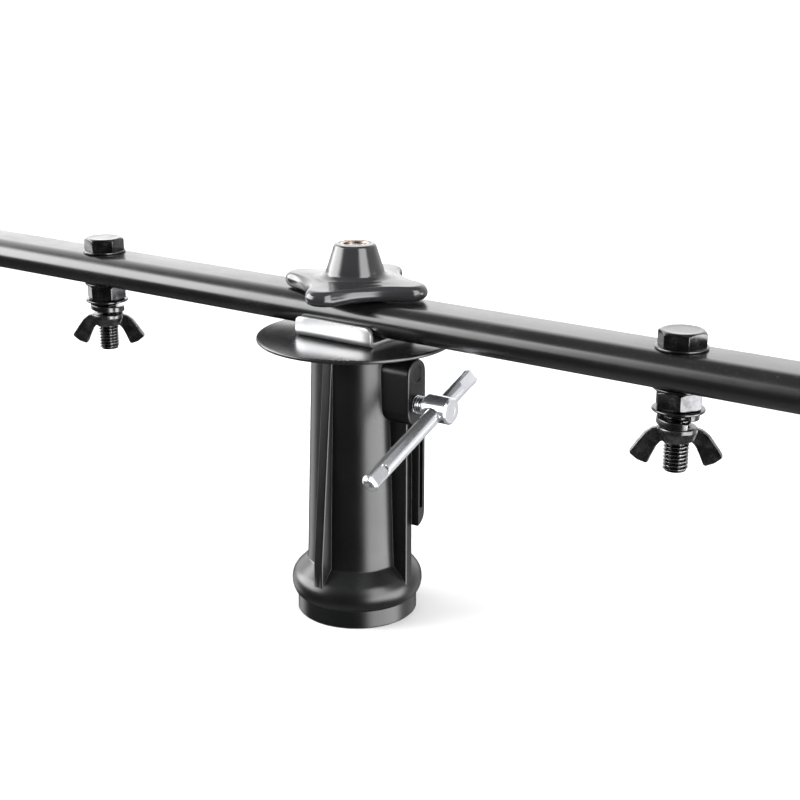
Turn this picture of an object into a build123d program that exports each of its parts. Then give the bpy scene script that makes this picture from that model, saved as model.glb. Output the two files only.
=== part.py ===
from build123d import *
import math
import os

# Lighting-stand crossbar head: a socket for the pole, a crossbar in a cradle with four lamp bolts,
# a star knob on top and a clamp screw with a tommy bar. Millimetres, +Z up.
# Origin: centre of the socket mouth. +Z runs up the pole axis, +X runs along the crossbar,
# and the clamp screw also points along +X.
# Cutting shapes run some way past the faces they open.

os.makedirs("parts", exist_ok=True)

# ---------------------------------------------------------------- shared dimensions
PLATE_TOP = 130.0            # top plate's upper face above the socket mouth
PLATE_R = 44.0
PLATE_T = 1.8
PLATE_EDGE_R = 0.6

POLE_BORE_R = 17.8           # for a 35 mm pole
SCREW_Z = PLATE_TOP - 26.2   # clamp screw axis height
CLAMP_R = 4.0                # M8 clamp screw
RUN = 0.05                   # radial running clearance of the modelled threads

M10_R = 5.0
M10_AF = 17.0                # across flats
M10_HEAD_H = 6.2
M10_NUT_H = 7.6
M10_WASHER_R = 10.4
M10_WASHER_T = 1.1
BOLT_TIP_CHAMFER = 0.9
CENTRE_BOLT_L = 50.0
LAMP_BOLT_L = 50.4
BOLT_SEAT = PLATE_TOP - 9.8  # underside of the centre bolt's head seat

# M10 hole radii
THREAD_R = M10_R + RUN       # nuts and the knob insert
LOOSE_WASHER_HOLE_R = M10_R + 0.1
PLATE_HOLE_R = M10_R + 0.15  # top plate and socket top
LAMP_HOLE_R = M10_R + 0.25   # lamp bolts through the bar, and their fixed washers
KNOB_HOLE_R = M10_R + 0.4
CENTRE_HOLE_R = M10_R + 0.5  # centre bolt through cradle and bar

BAR_W = 30.0                 # crossbar width (Y)
BAR_H = 15.0                 # crossbar height (Z)
BAR_WALL = 1.5
BAR_HALF_L = 500.0
BAR_Z0 = PLATE_TOP + 3.7     # crossbar underside
BAR_Z1 = BAR_Z0 + BAR_H      # crossbar top
LAMP_PITCH = 313.0
LAMP_X = [LAMP_PITCH * n for n in (-1.5, -0.5, 0.5, 1.5)]

BASE = (Align.CENTER, Align.CENTER, Align.MIN)   # centred, standing on its lower face


# ---------------------------------------------------------------- helpers
def zcyl(radius, z0, z1, x=0.0):
    return Pos(x, 0, z0) * Cylinder(radius, z1 - z0, align=BASE)


def xcyl(radius, x0, x1, z=SCREW_Z):
    return Pos(x0, 0, z) * Rot(0, 90, 0) * Cylinder(radius, x1 - x0, align=BASE)


def block(x0, x1, y0, y1, z0, z1):
    centre = Pos((x0 + x1) / 2, (y0 + y1) / 2, (z0 + z1) / 2)
    return centre * Box(x1 - x0, y1 - y0, z1 - z0)


def turned(points):
    """Solid of revolution about Z from a closed outline of (radius, z) points."""
    return revolve(Plane.XZ * Polygon(*points, align=None), Axis.Z, 360)


def hex_prism(across_flats, z0, z1, x=0.0, turn=0.0, chamfer_top=False, chamfer_bottom=False):
    """Hexagon prism about Z whose corners are cut by 30 degree cones, as on a real bolt head."""
    corner_r = across_flats / math.sqrt(3)
    body = Pos(0, 0, z0) * extrude(RegularPolygon(corner_r, 6, major_radius=True), z1 - z0)
    face_r = across_flats / 2 * 0.97
    wide_r = corner_r + 1
    rise = (wide_r - face_r) * math.tan(math.radians(30))
    if chamfer_top or chamfer_bottom:
        bottom = [(face_r, z0), (wide_r, z0 + rise)] if chamfer_bottom else [(wide_r, z0)]
        top = [(wide_r, z1 - rise), (face_r, z1)] if chamfer_top else [(wide_r, z1)]
        body = body & turned([(0, z0)] + bottom + top + [(0, z1)])
    return Pos(x, 0, 0) * Rot(0, 0, turn) * body


def washer(outer_r, hole_r, z0, z1, x=0.0):
    """Flat ring with both outer rims chamfered."""
    ring = zcyl(outer_r, z0, z1, x) - zcyl(hole_r, z0 - 1, z1 + 1, x)
    circles = ring.edges().filter_by(GeomType.CIRCLE)
    return chamfer(circles.filter_by(lambda e: abs(e.radius - outer_r) < 1e-6), 0.25)


def save(shape, name):
    if isinstance(shape, list):
        shape = Compound(children=shape)
    shape.label = name
    export_step(shape, os.path.join("parts", name + ".step"))


# ---------------------------------------------------------------- socket sleeve
SLEEVE_R_TOP = 19.56         # outer radius under the plate
SLEEVE_R_LOW = 22.6          # outer radius where the flare starts
FLARE_R = 30.0               # largest radius of the flared foot
SKIRT_R = 27.4               # radius at the mouth
MOUTH_CHAMFER = 0.6
SOCKET_TOP_Z = PLATE_TOP - 16.8   # lower face of the closed top of the socket

# (radius, depth below the plate top). A row of one point is a line to it from the row before;
# a row of two is an arc through the first to the second.
SLEEVE_OUTLINE = [
    [(0, PLATE_T)],
    [(SLEEVE_R_TOP, PLATE_T)],
    [(SLEEVE_R_LOW, 103.9)],
    [(22.8, 104.35), (23.15, 104.75)],
    [(27.6, 109.2)],
    [(FLARE_R - 0.7, 111.7), (FLARE_R, 114.6)],
    [(FLARE_R - 0.35, 117.9), (28.6, 120.4)],
    [(27.85, 120.95), (SKIRT_R, 121.6)],
    [(SKIRT_R, PLATE_TOP - MOUTH_CHAMFER)],
    [(SKIRT_R - MOUTH_CHAMFER, PLATE_TOP)],
    [(0, PLATE_TOP)],
    [(0, PLATE_T)],
]

ROOT = 15.0                  # ribs and boss start here, inside the pole bore
RIB_T = 4.8
RIB_X_R = 29.4               # outer radius of the rib on the clamp side
RIB_X_TOP_Z = PLATE_TOP - 28
RIB_Z0 = PLATE_TOP - 113.0   # lower end of all three ribs
RIB_Y_TOP_Z = PLATE_TOP - 4.0
RIB_Y_TOP_R = 20.3
RIB_Y_LOW_R = 29.1
RIB_Y_KNEE_Z = PLATE_TOP - 101.0  # the leaning edge turns vertical here

BOSS_HALF_W = 6.7            # half width of the stadium outline
BOSS_X = 33.4                # clamp boss face
BOSS_DEPTHS = (6.0, 36.0)    # top and bottom, below the plate top
DIMPLE_R = 3.75              # shallow round recess in the boss face
DIMPLE_Z = PLATE_TOP - 12.7
EAR_DEPTHS = (20.0, 84.2)

FOOT_CORE_R = 24.8
FOOT_CORE_IN_R = 20.4
FOOT_CORE_Z = PLATE_TOP - 110.5
FOOT_WEBS = 8
FOOT_WEB_HALF_T = 1.1

INSERT_X0, INSERT_X1 = 21.8, 31.4   # ends of the clamp insert
CLAMP_INSERT_R = 6.0
CLAMP_HOLE_R = 4.3
SHOE_POCKET_R = 5.7


def turned_sleeve():
    """Slightly tapered sleeve, flared foot and a short skirt, still solid."""
    edges = []
    last = None
    for row in SLEEVE_OUTLINE:
        points = [Vector(radius, 0, PLATE_TOP - depth) for radius, depth in row]
        if last is not None:
            curve = ThreePointArc if len(points) == 2 else Line
            edges.append(curve(last, *points))
        last = points[-1]
    return revolve(make_face(edges), Axis.Z, 360)


def stadium(depths, x1):
    """Upright stadium outline, run along X from ROOT to x1."""
    z_top = PLATE_TOP - depths[0] - BOSS_HALF_W
    z_bottom = PLATE_TOP - depths[1] + BOSS_HALF_W
    middle = block(ROOT, x1, -BOSS_HALF_W, BOSS_HALF_W, z_bottom, z_top)
    return middle + xcyl(BOSS_HALF_W, ROOT, x1, z_top) + xcyl(BOSS_HALF_W, ROOT, x1, z_bottom)


def clamp_rib():
    rib = block(ROOT, RIB_X_R, -RIB_T / 2, RIB_T / 2, RIB_Z0, RIB_X_TOP_Z)
    return fillet(rib.edges().filter_by(Axis.Z).sort_by(Axis.X)[-2:], 0.7)


def clamp_boss():
    boss = stadium(BOSS_DEPTHS, BOSS_X)
    boss = chamfer(boss.edges().group_by(Axis.X)[-1], 0.6)
    return boss - xcyl(DIMPLE_R, BOSS_X - 0.5, BOSS_X + 1, DIMPLE_Z)


def boss_ear():
    """Ear below the boss, on the +Y side of the clamp rib only, with a slot beside the rib."""
    ear = stadium(EAR_DEPTHS, BOSS_X - 0.1)
    ear = ear & block(10, 40, RIB_T / 2 - 0.6, 10, PLATE_TOP - 90, PLATE_TOP - 30)
    return ear - block(23.2, 40, RIB_T / 2, 4.9, PLATE_TOP - 75.5, PLATE_TOP - 36.6)


def side_rib():
    """Rib on the +Y side whose edge leans outwards towards the foot."""
    outline = [(ROOT, RIB_Y_TOP_Z), (RIB_Y_TOP_R, RIB_Y_TOP_Z), (RIB_Y_LOW_R, RIB_Y_KNEE_Z),
               (RIB_Y_LOW_R, RIB_Z0), (ROOT, RIB_Z0)]
    rib = extrude(Plane.YZ * Polygon(*outline, align=None), RIB_T / 2, both=True)

    def on_outer_edge(e):
        middle = e @ 0.5
        return abs(middle.Y) > RIB_Y_TOP_R and abs(middle.X) > 1 and (e @ 0).Z != (e @ 1).Z

    return fillet(rib.edges().filter_by(on_outer_edge), 0.6)


def foot_core():
    """Annular pocket open at the mouth, crossed by webs."""
    core_top = PLATE_TOP - 100
    core = zcyl(FOOT_CORE_R, -1, FOOT_CORE_Z) - zcyl(FOOT_CORE_IN_R, -2, core_top)
    step = 360 / FOOT_WEBS
    web = block(10, 30, -FOOT_WEB_HALF_T, FOOT_WEB_HALF_T, -2, core_top)
    for k in range(FOOT_WEBS):
        core = core - Rot(0, 0, step * (k + 0.5)) * web
    return core


def socket_sleeve():
    rib = side_rib()
    sleeve = turned_sleeve() + clamp_rib() + clamp_boss() + boss_ear() + rib + Rot(0, 0, 180) * rib
    sleeve = sleeve - zcyl(POLE_BORE_R, -1, SOCKET_TOP_Z)
    sleeve = sleeve - foot_core()
    # hex pocket that keeps the centre bolt's head from turning, and the bolt hole
    sleeve = sleeve - hex_prism(M10_AF + 0.2, SOCKET_TOP_Z - 1, BOLT_SEAT)
    sleeve = sleeve - zcyl(PLATE_HOLE_R, PLATE_TOP - 20, PLATE_TOP)
    # clamp screw hole, insert seat and shoe pocket
    sleeve = sleeve - xcyl(CLAMP_HOLE_R, ROOT, BOSS_X + 1)
    sleeve = sleeve - xcyl(CLAMP_INSERT_R, INSERT_X0, INSERT_X1)
    return sleeve - xcyl(SHOE_POCKET_R, ROOT, INSERT_X0)


def clamp_insert():
    """Steel threaded insert held in the boss."""
    return xcyl(CLAMP_INSERT_R, INSERT_X0, INSERT_X1) - xcyl(CLAMP_R + RUN, ROOT, 40)


save(socket_sleeve(), "socket_sleeve")
save(clamp_insert(), "clamp_insert")


# ---------------------------------------------------------------- top plate and centre bolt
def top_plate():
    plate = zcyl(PLATE_R, PLATE_TOP - PLATE_T, PLATE_TOP)
    plate = fillet(plate.edges().filter_by(GeomType.CIRCLE), PLATE_EDGE_R)
    return plate - zcyl(PLATE_HOLE_R, PLATE_TOP - 5, PLATE_TOP + 5)


def centre_bolt():
    shank = zcyl(M10_R, BOLT_SEAT, BOLT_SEAT + CENTRE_BOLT_L)
    shank = chamfer(shank.edges().sort_by(Axis.Z)[-1:], BOLT_TIP_CHAMFER)
    return shank + hex_prism(M10_AF, BOLT_SEAT - M10_HEAD_H, BOLT_SEAT, chamfer_bottom=True)


save(top_plate(), "top_plate")
save(centre_bolt(), "centre_bolt")

# ---------------------------------------------------------------- cradle bracket
CRADLE_HALF_L = 20.5
CRADLE_HALF_W = 16.88
CRADLE_T = 2.2
CRADLE_TOP = PLATE_TOP + 8.9
CRADLE_BEND_R = 3.2          # outside of the fold
CRADLE_BEND_IN_R = 1.1
CRADLE_CORNER_R = 3.0


def cradle_block(half_l, half_w, z0, z1, bend_r):
    """Block along X with its two lower long edges rounded."""
    body = block(-half_l, half_l, -half_w, half_w, z0, z1)
    return fillet(body.edges().filter_by(Axis.X).group_by(Axis.Z)[0], bend_r)


def cradle_bracket():
    """Folded U: floor on the plate, two upright sides whose inner top edges carry the bar."""
    cradle = cradle_block(CRADLE_HALF_L, CRADLE_HALF_W, PLATE_TOP, CRADLE_TOP, CRADLE_BEND_R)
    cradle = cradle - cradle_block(CRADLE_HALF_L + 1, CRADLE_HALF_W - CRADLE_T,
                                   PLATE_TOP + CRADLE_T, CRADLE_TOP + 5, CRADLE_BEND_IN_R)
    cradle = fillet(cradle.edges().filter_by(Axis.Y).group_by(Axis.Z)[-1], CRADLE_CORNER_R)
    return cradle - zcyl(CENTRE_HOLE_R, PLATE_TOP - 5, PLATE_TOP + 10)


save(cradle_bracket(), "cradle_bracket")

# ---------------------------------------------------------------- crossbar and end caps
CAP_PLUG_L = 14.0
CAP_PLUG_WALL = 1.8
CAP_PLUG_GAP = 0.1           # plug's total clearance in the tube
CAP_FLANGE_T = 3.2


def oval(x0, x1, inset=0.0):
    """Length of the bar's flat-oval section, set in all round."""
    section = Plane.YZ * SlotOverall(BAR_W - 2 * inset, BAR_H - 2 * inset)
    return Pos(x0, 0, BAR_Z0 + BAR_H / 2) * extrude(section, x1 - x0)


def bar_tube():
    bar = oval(-BAR_HALF_L, BAR_HALF_L) - oval(-BAR_HALF_L - 1, BAR_HALF_L + 1, BAR_WALL)
    for x in LAMP_X:
        bar = bar - zcyl(LAMP_HOLE_R, BAR_Z0 - 5, BAR_Z1 + 5, x)
    return bar - zcyl(CENTRE_HOLE_R, BAR_Z0 - 5, BAR_Z1 + 5)


def end_cap():
    """Cap for the +X end: a hollow plug and a rounded flange."""
    inset = BAR_WALL + CAP_PLUG_GAP / 2
    plug_x = BAR_HALF_L - CAP_PLUG_L
    plug = oval(plug_x, BAR_HALF_L, inset)
    plug = plug - oval(plug_x - 1, BAR_HALF_L - 1, inset + CAP_PLUG_WALL)
    flange = oval(BAR_HALF_L, BAR_HALF_L + CAP_FLANGE_T)
    flange = fillet(flange.edges().group_by(Axis.X)[-1], CAP_FLANGE_T / 2)
    return plug + flange


save(bar_tube(), "bar_tube")
save(mirror(end_cap(), Plane.YZ), "end_cap_left")
save(end_cap(), "end_cap_right")

# ---------------------------------------------------------------- lamp bolts and hardware
# turns about Z in degrees, one per lamp bolt from -X to +X
HEAD_TURN = (22.0, 41.3, 9.8, 51.0)
NUT_TURN = (10.0, 29.5, 58.7, 36.0)
SPRING_TURN = (-70, 120, -38, 150)
WING_TURN = (14.0, 34.0, 26.0, -20.0)

SPRING_R = 8.3               # spring washer outer radius
SPRING_IN = 5.3
SPRING_T = 2.85              # wire height
SPRING_H = 6.4               # free height of the open coil
SPRING_GAP = 0.1             # rise of the coil above SPRING_Z
HUB_H = 6.0                  # wing nut hub height

HEAD_SEAT_Z = BAR_Z1 + M10_WASHER_T
NUT_TOP_Z = BAR_Z0 - M10_WASHER_T
# lower faces of the lock nut, the flat washer and the spring washer
NUT_Z = NUT_TOP_Z - M10_NUT_H
FLAT_Z = NUT_Z - M10_WASHER_T
SPRING_Z = FLAT_Z - SPRING_H

# (radius, height) from the hub's top face
HUB_OUTLINE = [(0, 0), (7.3, 0), (7.7, -0.5), (7.5, -2.2),
               (6.3, 0.7 - HUB_H), (5.8, -HUB_H), (0, -HUB_H)]
WING_OUTLINE = [
    (4.0, -0.6), (7.2, -0.4), (9.9, -1.2), (12.5, -3.3), (15.1, -6.8), (18.0, -11.1),
    (17.8, -12.0), (14.9, -14.4), (11.6, -15.7), (10.7, -15.3), (9.1, -11.4), (7.6, -8.2),
    (6.2, -6.4), (4.0, -5.8)]
WING_HALF_T = 1.5


def lamp_bolt(x, turn):
    shank = zcyl(M10_R, HEAD_SEAT_Z - LAMP_BOLT_L, HEAD_SEAT_Z, x)
    shank = chamfer(shank.edges().sort_by(Axis.Z)[:1], BOLT_TIP_CHAMFER)
    head_top = HEAD_SEAT_Z + M10_HEAD_H
    return shank + hex_prism(M10_AF, HEAD_SEAT_Z, head_top, x, turn, chamfer_top=True)


def lock_nut(x, turn):
    nut = hex_prism(M10_AF, NUT_Z, NUT_TOP_Z, x, turn, chamfer_top=True, chamfer_bottom=True)
    return nut - zcyl(THREAD_R, BAR_Z0 - 20, BAR_Z0, x)


def m10_washer(hole_r, z0, x):
    return washer(M10_WASHER_R, hole_r, z0, z0 + M10_WASHER_T, x)


def spring_washer(x, turn):
    """One left-hand turn of rectangular wire, split."""
    pitch = SPRING_H - SPRING_T - 0.1
    path = Helix(pitch=pitch, height=pitch * 0.965, radius=(SPRING_R + SPRING_IN) / 2,
                 lefthand=True)
    start = Plane(origin=path @ 0, x_dir=(1, 0, 0), z_dir=path % 0)
    coil = sweep(start * Rectangle(SPRING_R - SPRING_IN, SPRING_T), path, is_frenet=True)
    return Pos(x, 0, SPRING_Z + SPRING_GAP + SPRING_T / 2) * Rot(0, 0, turn) * coil


def wing_nut(x, turn):
    body = turned([(radius, SPRING_Z + z) for radius, z in HUB_OUTLINE])
    for side in (0, 180):
        wing = extrude(Plane.XZ * Polygon(*WING_OUTLINE, align=None), WING_HALF_T, both=True)
        outer_edges = wing.edges().filter_by(Axis.Y).filter_by(lambda e: (e @ 0.5).X > 9)
        wing = fillet(outer_edges, 0.5)
        body = body + Rot(0, 0, side) * Pos(0, 0, SPRING_Z) * wing
    body = body - zcyl(THREAD_R, SPRING_Z - HUB_H - 20, SPRING_Z + 1)
    return Pos(x, 0, 0) * Rot(0, 0, turn) * body


save([lamp_bolt(x, turn) for x, turn in zip(LAMP_X, HEAD_TURN)], "lamp_bolts")
save([m10_washer(LAMP_HOLE_R, BAR_Z1, x) for x in LAMP_X], "head_washers")
save([m10_washer(LAMP_HOLE_R, NUT_TOP_Z, x) for x in LAMP_X], "under_washers")
save([lock_nut(x, turn) for x, turn in zip(LAMP_X, NUT_TURN)], "lock_nuts")

for i, x in enumerate(LAMP_X):
    save(m10_washer(LOOSE_WASHER_HOLE_R, FLAT_Z, x), f"flat_washer_{i + 1}")
    save(spring_washer(x, SPRING_TURN[i]), f"spring_washer_{i + 1}")
    save(wing_nut(x, WING_TURN[i]), f"wing_nut_{i + 1}")

# ---------------------------------------------------------------- star knob
KNOB_R = 35.0
KNOB_VALLEY_R = 22.8
LOBE_R = 7.2
KNOB_T = 7.0
KNOB_Z0 = BAR_Z1 + 0.5       # underside; the pressure washer sits in a recess
KNOB_Z1 = PLATE_TOP + 41.1   # top
KNOB_SEAT = BAR_Z1 + 1.5     # top of the pressure washer
KNOB_WASHER_R = 13.0
KNOB_TURN = 6.8              # angle of the first lobe, degrees
KNOB_INSERT_R = 6.65         # brass insert
KNOB_INSERT_Z = KNOB_SEAT + 0.5
KNOB_RIM_Z = KNOB_Z0 + KNOB_T
# (radius, z) of the raised middle
KNOB_CONE = [(0, KNOB_Z0 + 1), (14.8, KNOB_Z0 + 1), (14.8, KNOB_RIM_Z),
             (13.2, KNOB_RIM_Z + 1.6), (9.7, KNOB_Z1 - 1.5), (8.6, KNOB_Z1), (0, KNOB_Z1)]


def star_face():
    """Four round lobes joined by concave arcs that are tangent to them."""
    lobe_d = KNOB_R - LOBE_R
    diagonal = math.sqrt(2) * lobe_d
    flank_r = ((LOBE_R ** 2 - lobe_d ** 2 - KNOB_VALLEY_R ** 2 + diagonal * KNOB_VALLEY_R)
               / (2 * KNOB_VALLEY_R - diagonal - 2 * LOBE_R))
    flank_x = (KNOB_VALLEY_R + flank_r) / math.sqrt(2)
    share = LOBE_R / (LOBE_R + flank_r)
    tangent_x = lobe_d + (flank_x - lobe_d) * share
    tangent_y = flank_x * share
    valley = KNOB_VALLEY_R / math.sqrt(2)
    lobe = ((tangent_x, -tangent_y), (KNOB_R, 0), (tangent_x, tangent_y))
    flank = ((tangent_x, tangent_y), (valley, valley), (tangent_y, tangent_x))
    return make_face([Rot(0, 0, 90 * k) * ThreePointArc(*points)
                      for k in range(4) for points in (lobe, flank)])


def knob_body():
    knob = Pos(0, 0, KNOB_Z0) * extrude(star_face(), KNOB_T)
    knob = chamfer(knob.edges().group_by(Axis.Z)[-1], 1.6)
    knob = knob + turned(KNOB_CONE)
    knob = knob - zcyl(KNOB_INSERT_R, KNOB_INSERT_Z, KNOB_Z1 + 1)
    knob = knob - zcyl(KNOB_WASHER_R + 0.3, KNOB_Z0 - 1, KNOB_SEAT)
    knob = knob - zcyl(KNOB_HOLE_R, KNOB_Z0 - 1, KNOB_Z1)
    return Rot(0, 0, KNOB_TURN) * knob


def knob_insert():
    return zcyl(KNOB_INSERT_R, KNOB_INSERT_Z, KNOB_Z1) - zcyl(THREAD_R, KNOB_Z0 - 1, KNOB_Z1 + 1)


save(washer(KNOB_WASHER_R, LOOSE_WASHER_HOLE_R, BAR_Z1, KNOB_SEAT), "knob_washer")
save(knob_body(), "knob_body")
save(knob_insert(), "knob_insert")

# ---------------------------------------------------------------- clamp screw, shoe and tommy bar
SHOE_R = 5.6
SHOE_X1 = 21.2               # outer face of the shoe
SHOE_HOLE_R, SHOE_HOLE_X = 3.05, 19.6
SCREW_NOSE_R, SCREW_NOSE_X = 2.95, 19.75
SCREW_X0 = 21.4              # start of the full thread diameter
BARREL_X0, BARREL_X1 = 38.7, 51.7
BARREL_R = 6.0

TOMMY_R = 3.65
TOMMY_TILT = 21.0            # from horizontal, degrees
TOMMY_LONG = 55.7            # end of the long side (-Y, down) from the screw axis
TOMMY_SHORT = 27.2           # end of the short side (+Y, up)
TOMMY_PLACE = Pos((BARREL_X0 + BARREL_X1) / 2, 0, SCREW_Z) * Rot(TOMMY_TILT, 0, 0)

# Two pressed flats at each end push the metal out sideways over the last few millimetres,
# wider than the cross hole, which keeps the bar captive.
FLAT_HALF = 2.9              # half of the distance across the flats
FLAT_L = 11.5                # length of a flat from the tip
FLAT_TURN = 34.0             # direction the flats face, degrees up from +X
SPREAD_L = 5.0               # length of the widened tip
SPREAD_R = 3.95
TIP_TAPER_L = 0.9


def clamp_shoe():
    shoe = xcyl(SHOE_R, ROOT, SHOE_X1) - zcyl(POLE_BORE_R, SCREW_Z - 20, SCREW_Z + 20)
    return shoe - xcyl(SHOE_HOLE_R, SHOE_HOLE_X, 25)


def y_rod(radius, y0, y1):
    return Rot(-90, 0, 0) * Pos(0, 0, y0) * Cylinder(radius, y1 - y0, align=BASE)


def clamp_screw():
    screw = xcyl(CLAMP_R, SCREW_X0, BARREL_X0 + 0.5) + xcyl(SCREW_NOSE_R, SCREW_NOSE_X, 22)
    barrel = xcyl(BARREL_R, BARREL_X0, BARREL_X1)
    screw = screw + chamfer(barrel.edges().filter_by(GeomType.CIRCLE), 0.7)
    return screw - TOMMY_PLACE * y_rod(TOMMY_R + 0.06, -20, 20)


def tommy_bar():
    tommy = y_rod(TOMMY_R, -TOMMY_LONG + TIP_TAPER_L, TOMMY_SHORT - TIP_TAPER_L)
    spread = Ellipse(TOMMY_R - 0.12, SPREAD_R)
    tip_end = Ellipse(TOMMY_R - 1.0, SPREAD_R - 0.9)
    for y_end, inward in ((-TOMMY_LONG, 1), (TOMMY_SHORT, -1)):
        tip = Pos(0, 0, TIP_TAPER_L) * extrude(spread, SPREAD_L - TIP_TAPER_L)
        tip = tip + loft([tip_end, Pos(0, 0, TIP_TAPER_L) * spread])
        tommy = tommy + Pos(0, y_end, 0) * Rot(-90 * inward, 0, 0) * tip
        flat_y = y_end + inward * (FLAT_L / 2 - 0.5)
        for side in (1, -1):
            tommy = tommy - Pos(side * (FLAT_HALF + 2), flat_y, 0) * Box(4, FLAT_L + 1, 12)
    return TOMMY_PLACE * Rot(0, -FLAT_TURN, 0) * tommy


save(clamp_shoe(), "clamp_shoe")
save(clamp_screw(), "clamp_screw")
save(tommy_bar(), "tommy_bar")
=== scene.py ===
# A crossbar with four lamp bolts, held on a round socket by a centre bolt and a star knob.
# The bar runs along X. The socket, the centre bolt and the knob share the Z axis, and the
# socket's clamp screw points along +X with a tommy bar through its barrel.
# Shapes are worked out in millimetres and stored in metres. "Mesh data" is a pair
# (vertices, faces), which make() turns into an object.
import math

import bmesh
import bpy
import numpy as np
from mathutils import Matrix, Vector


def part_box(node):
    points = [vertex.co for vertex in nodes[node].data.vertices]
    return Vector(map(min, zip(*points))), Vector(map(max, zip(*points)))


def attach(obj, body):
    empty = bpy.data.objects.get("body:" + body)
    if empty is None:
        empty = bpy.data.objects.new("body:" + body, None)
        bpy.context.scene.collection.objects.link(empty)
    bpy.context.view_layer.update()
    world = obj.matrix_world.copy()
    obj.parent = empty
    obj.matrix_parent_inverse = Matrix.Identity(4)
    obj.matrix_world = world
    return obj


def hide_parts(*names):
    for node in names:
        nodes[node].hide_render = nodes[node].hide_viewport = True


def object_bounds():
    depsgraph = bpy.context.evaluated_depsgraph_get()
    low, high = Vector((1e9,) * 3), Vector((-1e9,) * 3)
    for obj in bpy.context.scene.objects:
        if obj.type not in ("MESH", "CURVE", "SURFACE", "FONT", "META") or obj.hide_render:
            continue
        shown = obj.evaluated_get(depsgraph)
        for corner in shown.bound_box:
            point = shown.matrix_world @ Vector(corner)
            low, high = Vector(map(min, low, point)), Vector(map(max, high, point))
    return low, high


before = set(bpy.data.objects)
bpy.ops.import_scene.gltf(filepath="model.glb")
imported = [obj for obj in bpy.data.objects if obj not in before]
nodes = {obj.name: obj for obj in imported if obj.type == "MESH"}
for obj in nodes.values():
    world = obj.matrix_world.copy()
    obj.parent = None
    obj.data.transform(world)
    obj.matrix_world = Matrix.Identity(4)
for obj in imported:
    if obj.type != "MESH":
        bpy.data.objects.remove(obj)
cad_lo, cad_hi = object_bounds()
scene = bpy.context.scene
MM = 0.001
TAU = 2 * math.pi


# ---------------------------------------------------------------- places and shared sizes
def box(name):
    """Lowest and highest corner of a CAD node, in millimetres."""
    lo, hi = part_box(name)
    return np.array(lo) / MM, np.array(hi) / MM


def lamp_place(number):
    """X of a lamp bolt, to the nearest half millimetre."""
    lo, hi = box("flat_washer_%d" % number)
    return round(float(((lo + hi) / 2)[0]) * 2) / 2


PLATE_LO, PLATE_HI = box("top_plate")
TOP = PLATE_HI[2]  # top of the socket's plate: socket heights are measured down from it
BAR_LO, BAR_HI = box("bar_tube")
BAR_WIDTH, BAR_HEIGHT = BAR_HI[1] - BAR_LO[1], BAR_HI[2] - BAR_LO[2]
BAR_Z = (BAR_HI[2] + BAR_LO[2]) / 2
BAR_WALL = 1.5
BAR_BOLT_HOLE = 5.5  # radius of the centre bolt's hole in bar and bracket

LAMP_X = [lamp_place(number) for number in (1, 2, 3, 4)]
LAMP_PITCH = 313.0
# How far each lamp's parts are turned about Z, in degrees
HEAD_TURN = (22.0, 41.3, 9.8, 51.0)
NUT_TURN = (10.0, 29.5, 58.7, 36.0)
WING_TURN = (14.0, 34.0, 26.0, -20.0)
SPRING_TURN = (-70.0, 120.0, -38.0, 150.0)

M10_RADIUS, M10_PITCH = 5.0, 1.5
HEX_FLATS = 17.0
HEX_CORNER = 0.45  # radius of the upright corners
HEX_EDGE = 0.22  # size of the eased edges
HEX_FACE = HEX_FLATS / 2 * 0.965  # radius of the flat face inside the chamfer
WASHER_EDGE = 0.4

CLAMP_DROP = 26.2  # clamp hole below TOP
SCREW_LO, SCREW_HI = box("clamp_screw")
SCREW_Z = (SCREW_LO[2] + SCREW_HI[2]) / 2
TOMMY_LO, TOMMY_HI = box("tommy_bar")
TOMMY_X = (TOMMY_LO[0] + TOMMY_HI[0]) / 2
TOMMY_TILT = math.radians(21.0)  # rise of the tommy bar from +Y


# ---------------------------------------------------------------- objects
def make(name, mesh, angle=38.0):
    """Object from mesh data, cleaned, with edges sharper than angle (degrees) kept crisp."""
    verts, faces = mesh
    data = bpy.data.meshes.new(name)
    points = np.asarray(verts, float) * MM
    data.from_pydata([tuple(p) for p in points], [], [tuple(int(i) for i in f) for f in faces])
    data.validate()
    bm = bmesh.new()
    bm.from_mesh(data)
    bmesh.ops.remove_doubles(bm, verts=bm.verts, dist=2e-7)
    bmesh.ops.dissolve_degenerate(bm, edges=bm.edges, dist=1e-8)
    bmesh.ops.recalc_face_normals(bm, faces=bm.faces)
    bm.to_mesh(data)
    bm.free()
    ob = bpy.data.objects.new(name, data)
    scene.collection.objects.link(ob)
    shade(ob, angle)
    return ob


def shade(ob, angle):
    data = ob.data
    data.polygons.foreach_set("use_smooth", [True] * len(data.polygons))
    data.set_sharp_from_angle(angle=math.radians(angle))
    data.update()


def apply_modifiers(ob):
    bpy.context.view_layer.update()
    depsgraph = bpy.context.evaluated_depsgraph_get()
    data = bpy.data.meshes.new_from_object(ob.evaluated_get(depsgraph))
    old = ob.data
    ob.modifiers.clear()
    ob.data = data
    bpy.data.meshes.remove(old)


def boolean(ob, tool, operation="DIFFERENCE"):
    """Cuts the tool object from ob, or joins it on, and removes the tool."""
    modifier = ob.modifiers.new("boolean", "BOOLEAN")
    modifier.object, modifier.operation, modifier.solver = tool, operation, "EXACT"
    apply_modifiers(ob)
    bpy.data.objects.remove(tool)


def cut(ob, mesh):
    boolean(ob, make("tool", mesh))


def add(ob, mesh):
    boolean(ob, make("tool", mesh), "UNION")


def bevel(ob, width, segments, angle):
    """Rounds every edge sharper than angle (degrees)."""
    modifier = ob.modifiers.new("bevel", "BEVEL")
    modifier.width, modifier.segments = width * MM, segments
    modifier.limit_method, modifier.angle_limit = "ANGLE", math.radians(angle)
    apply_modifiers(ob)


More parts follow.
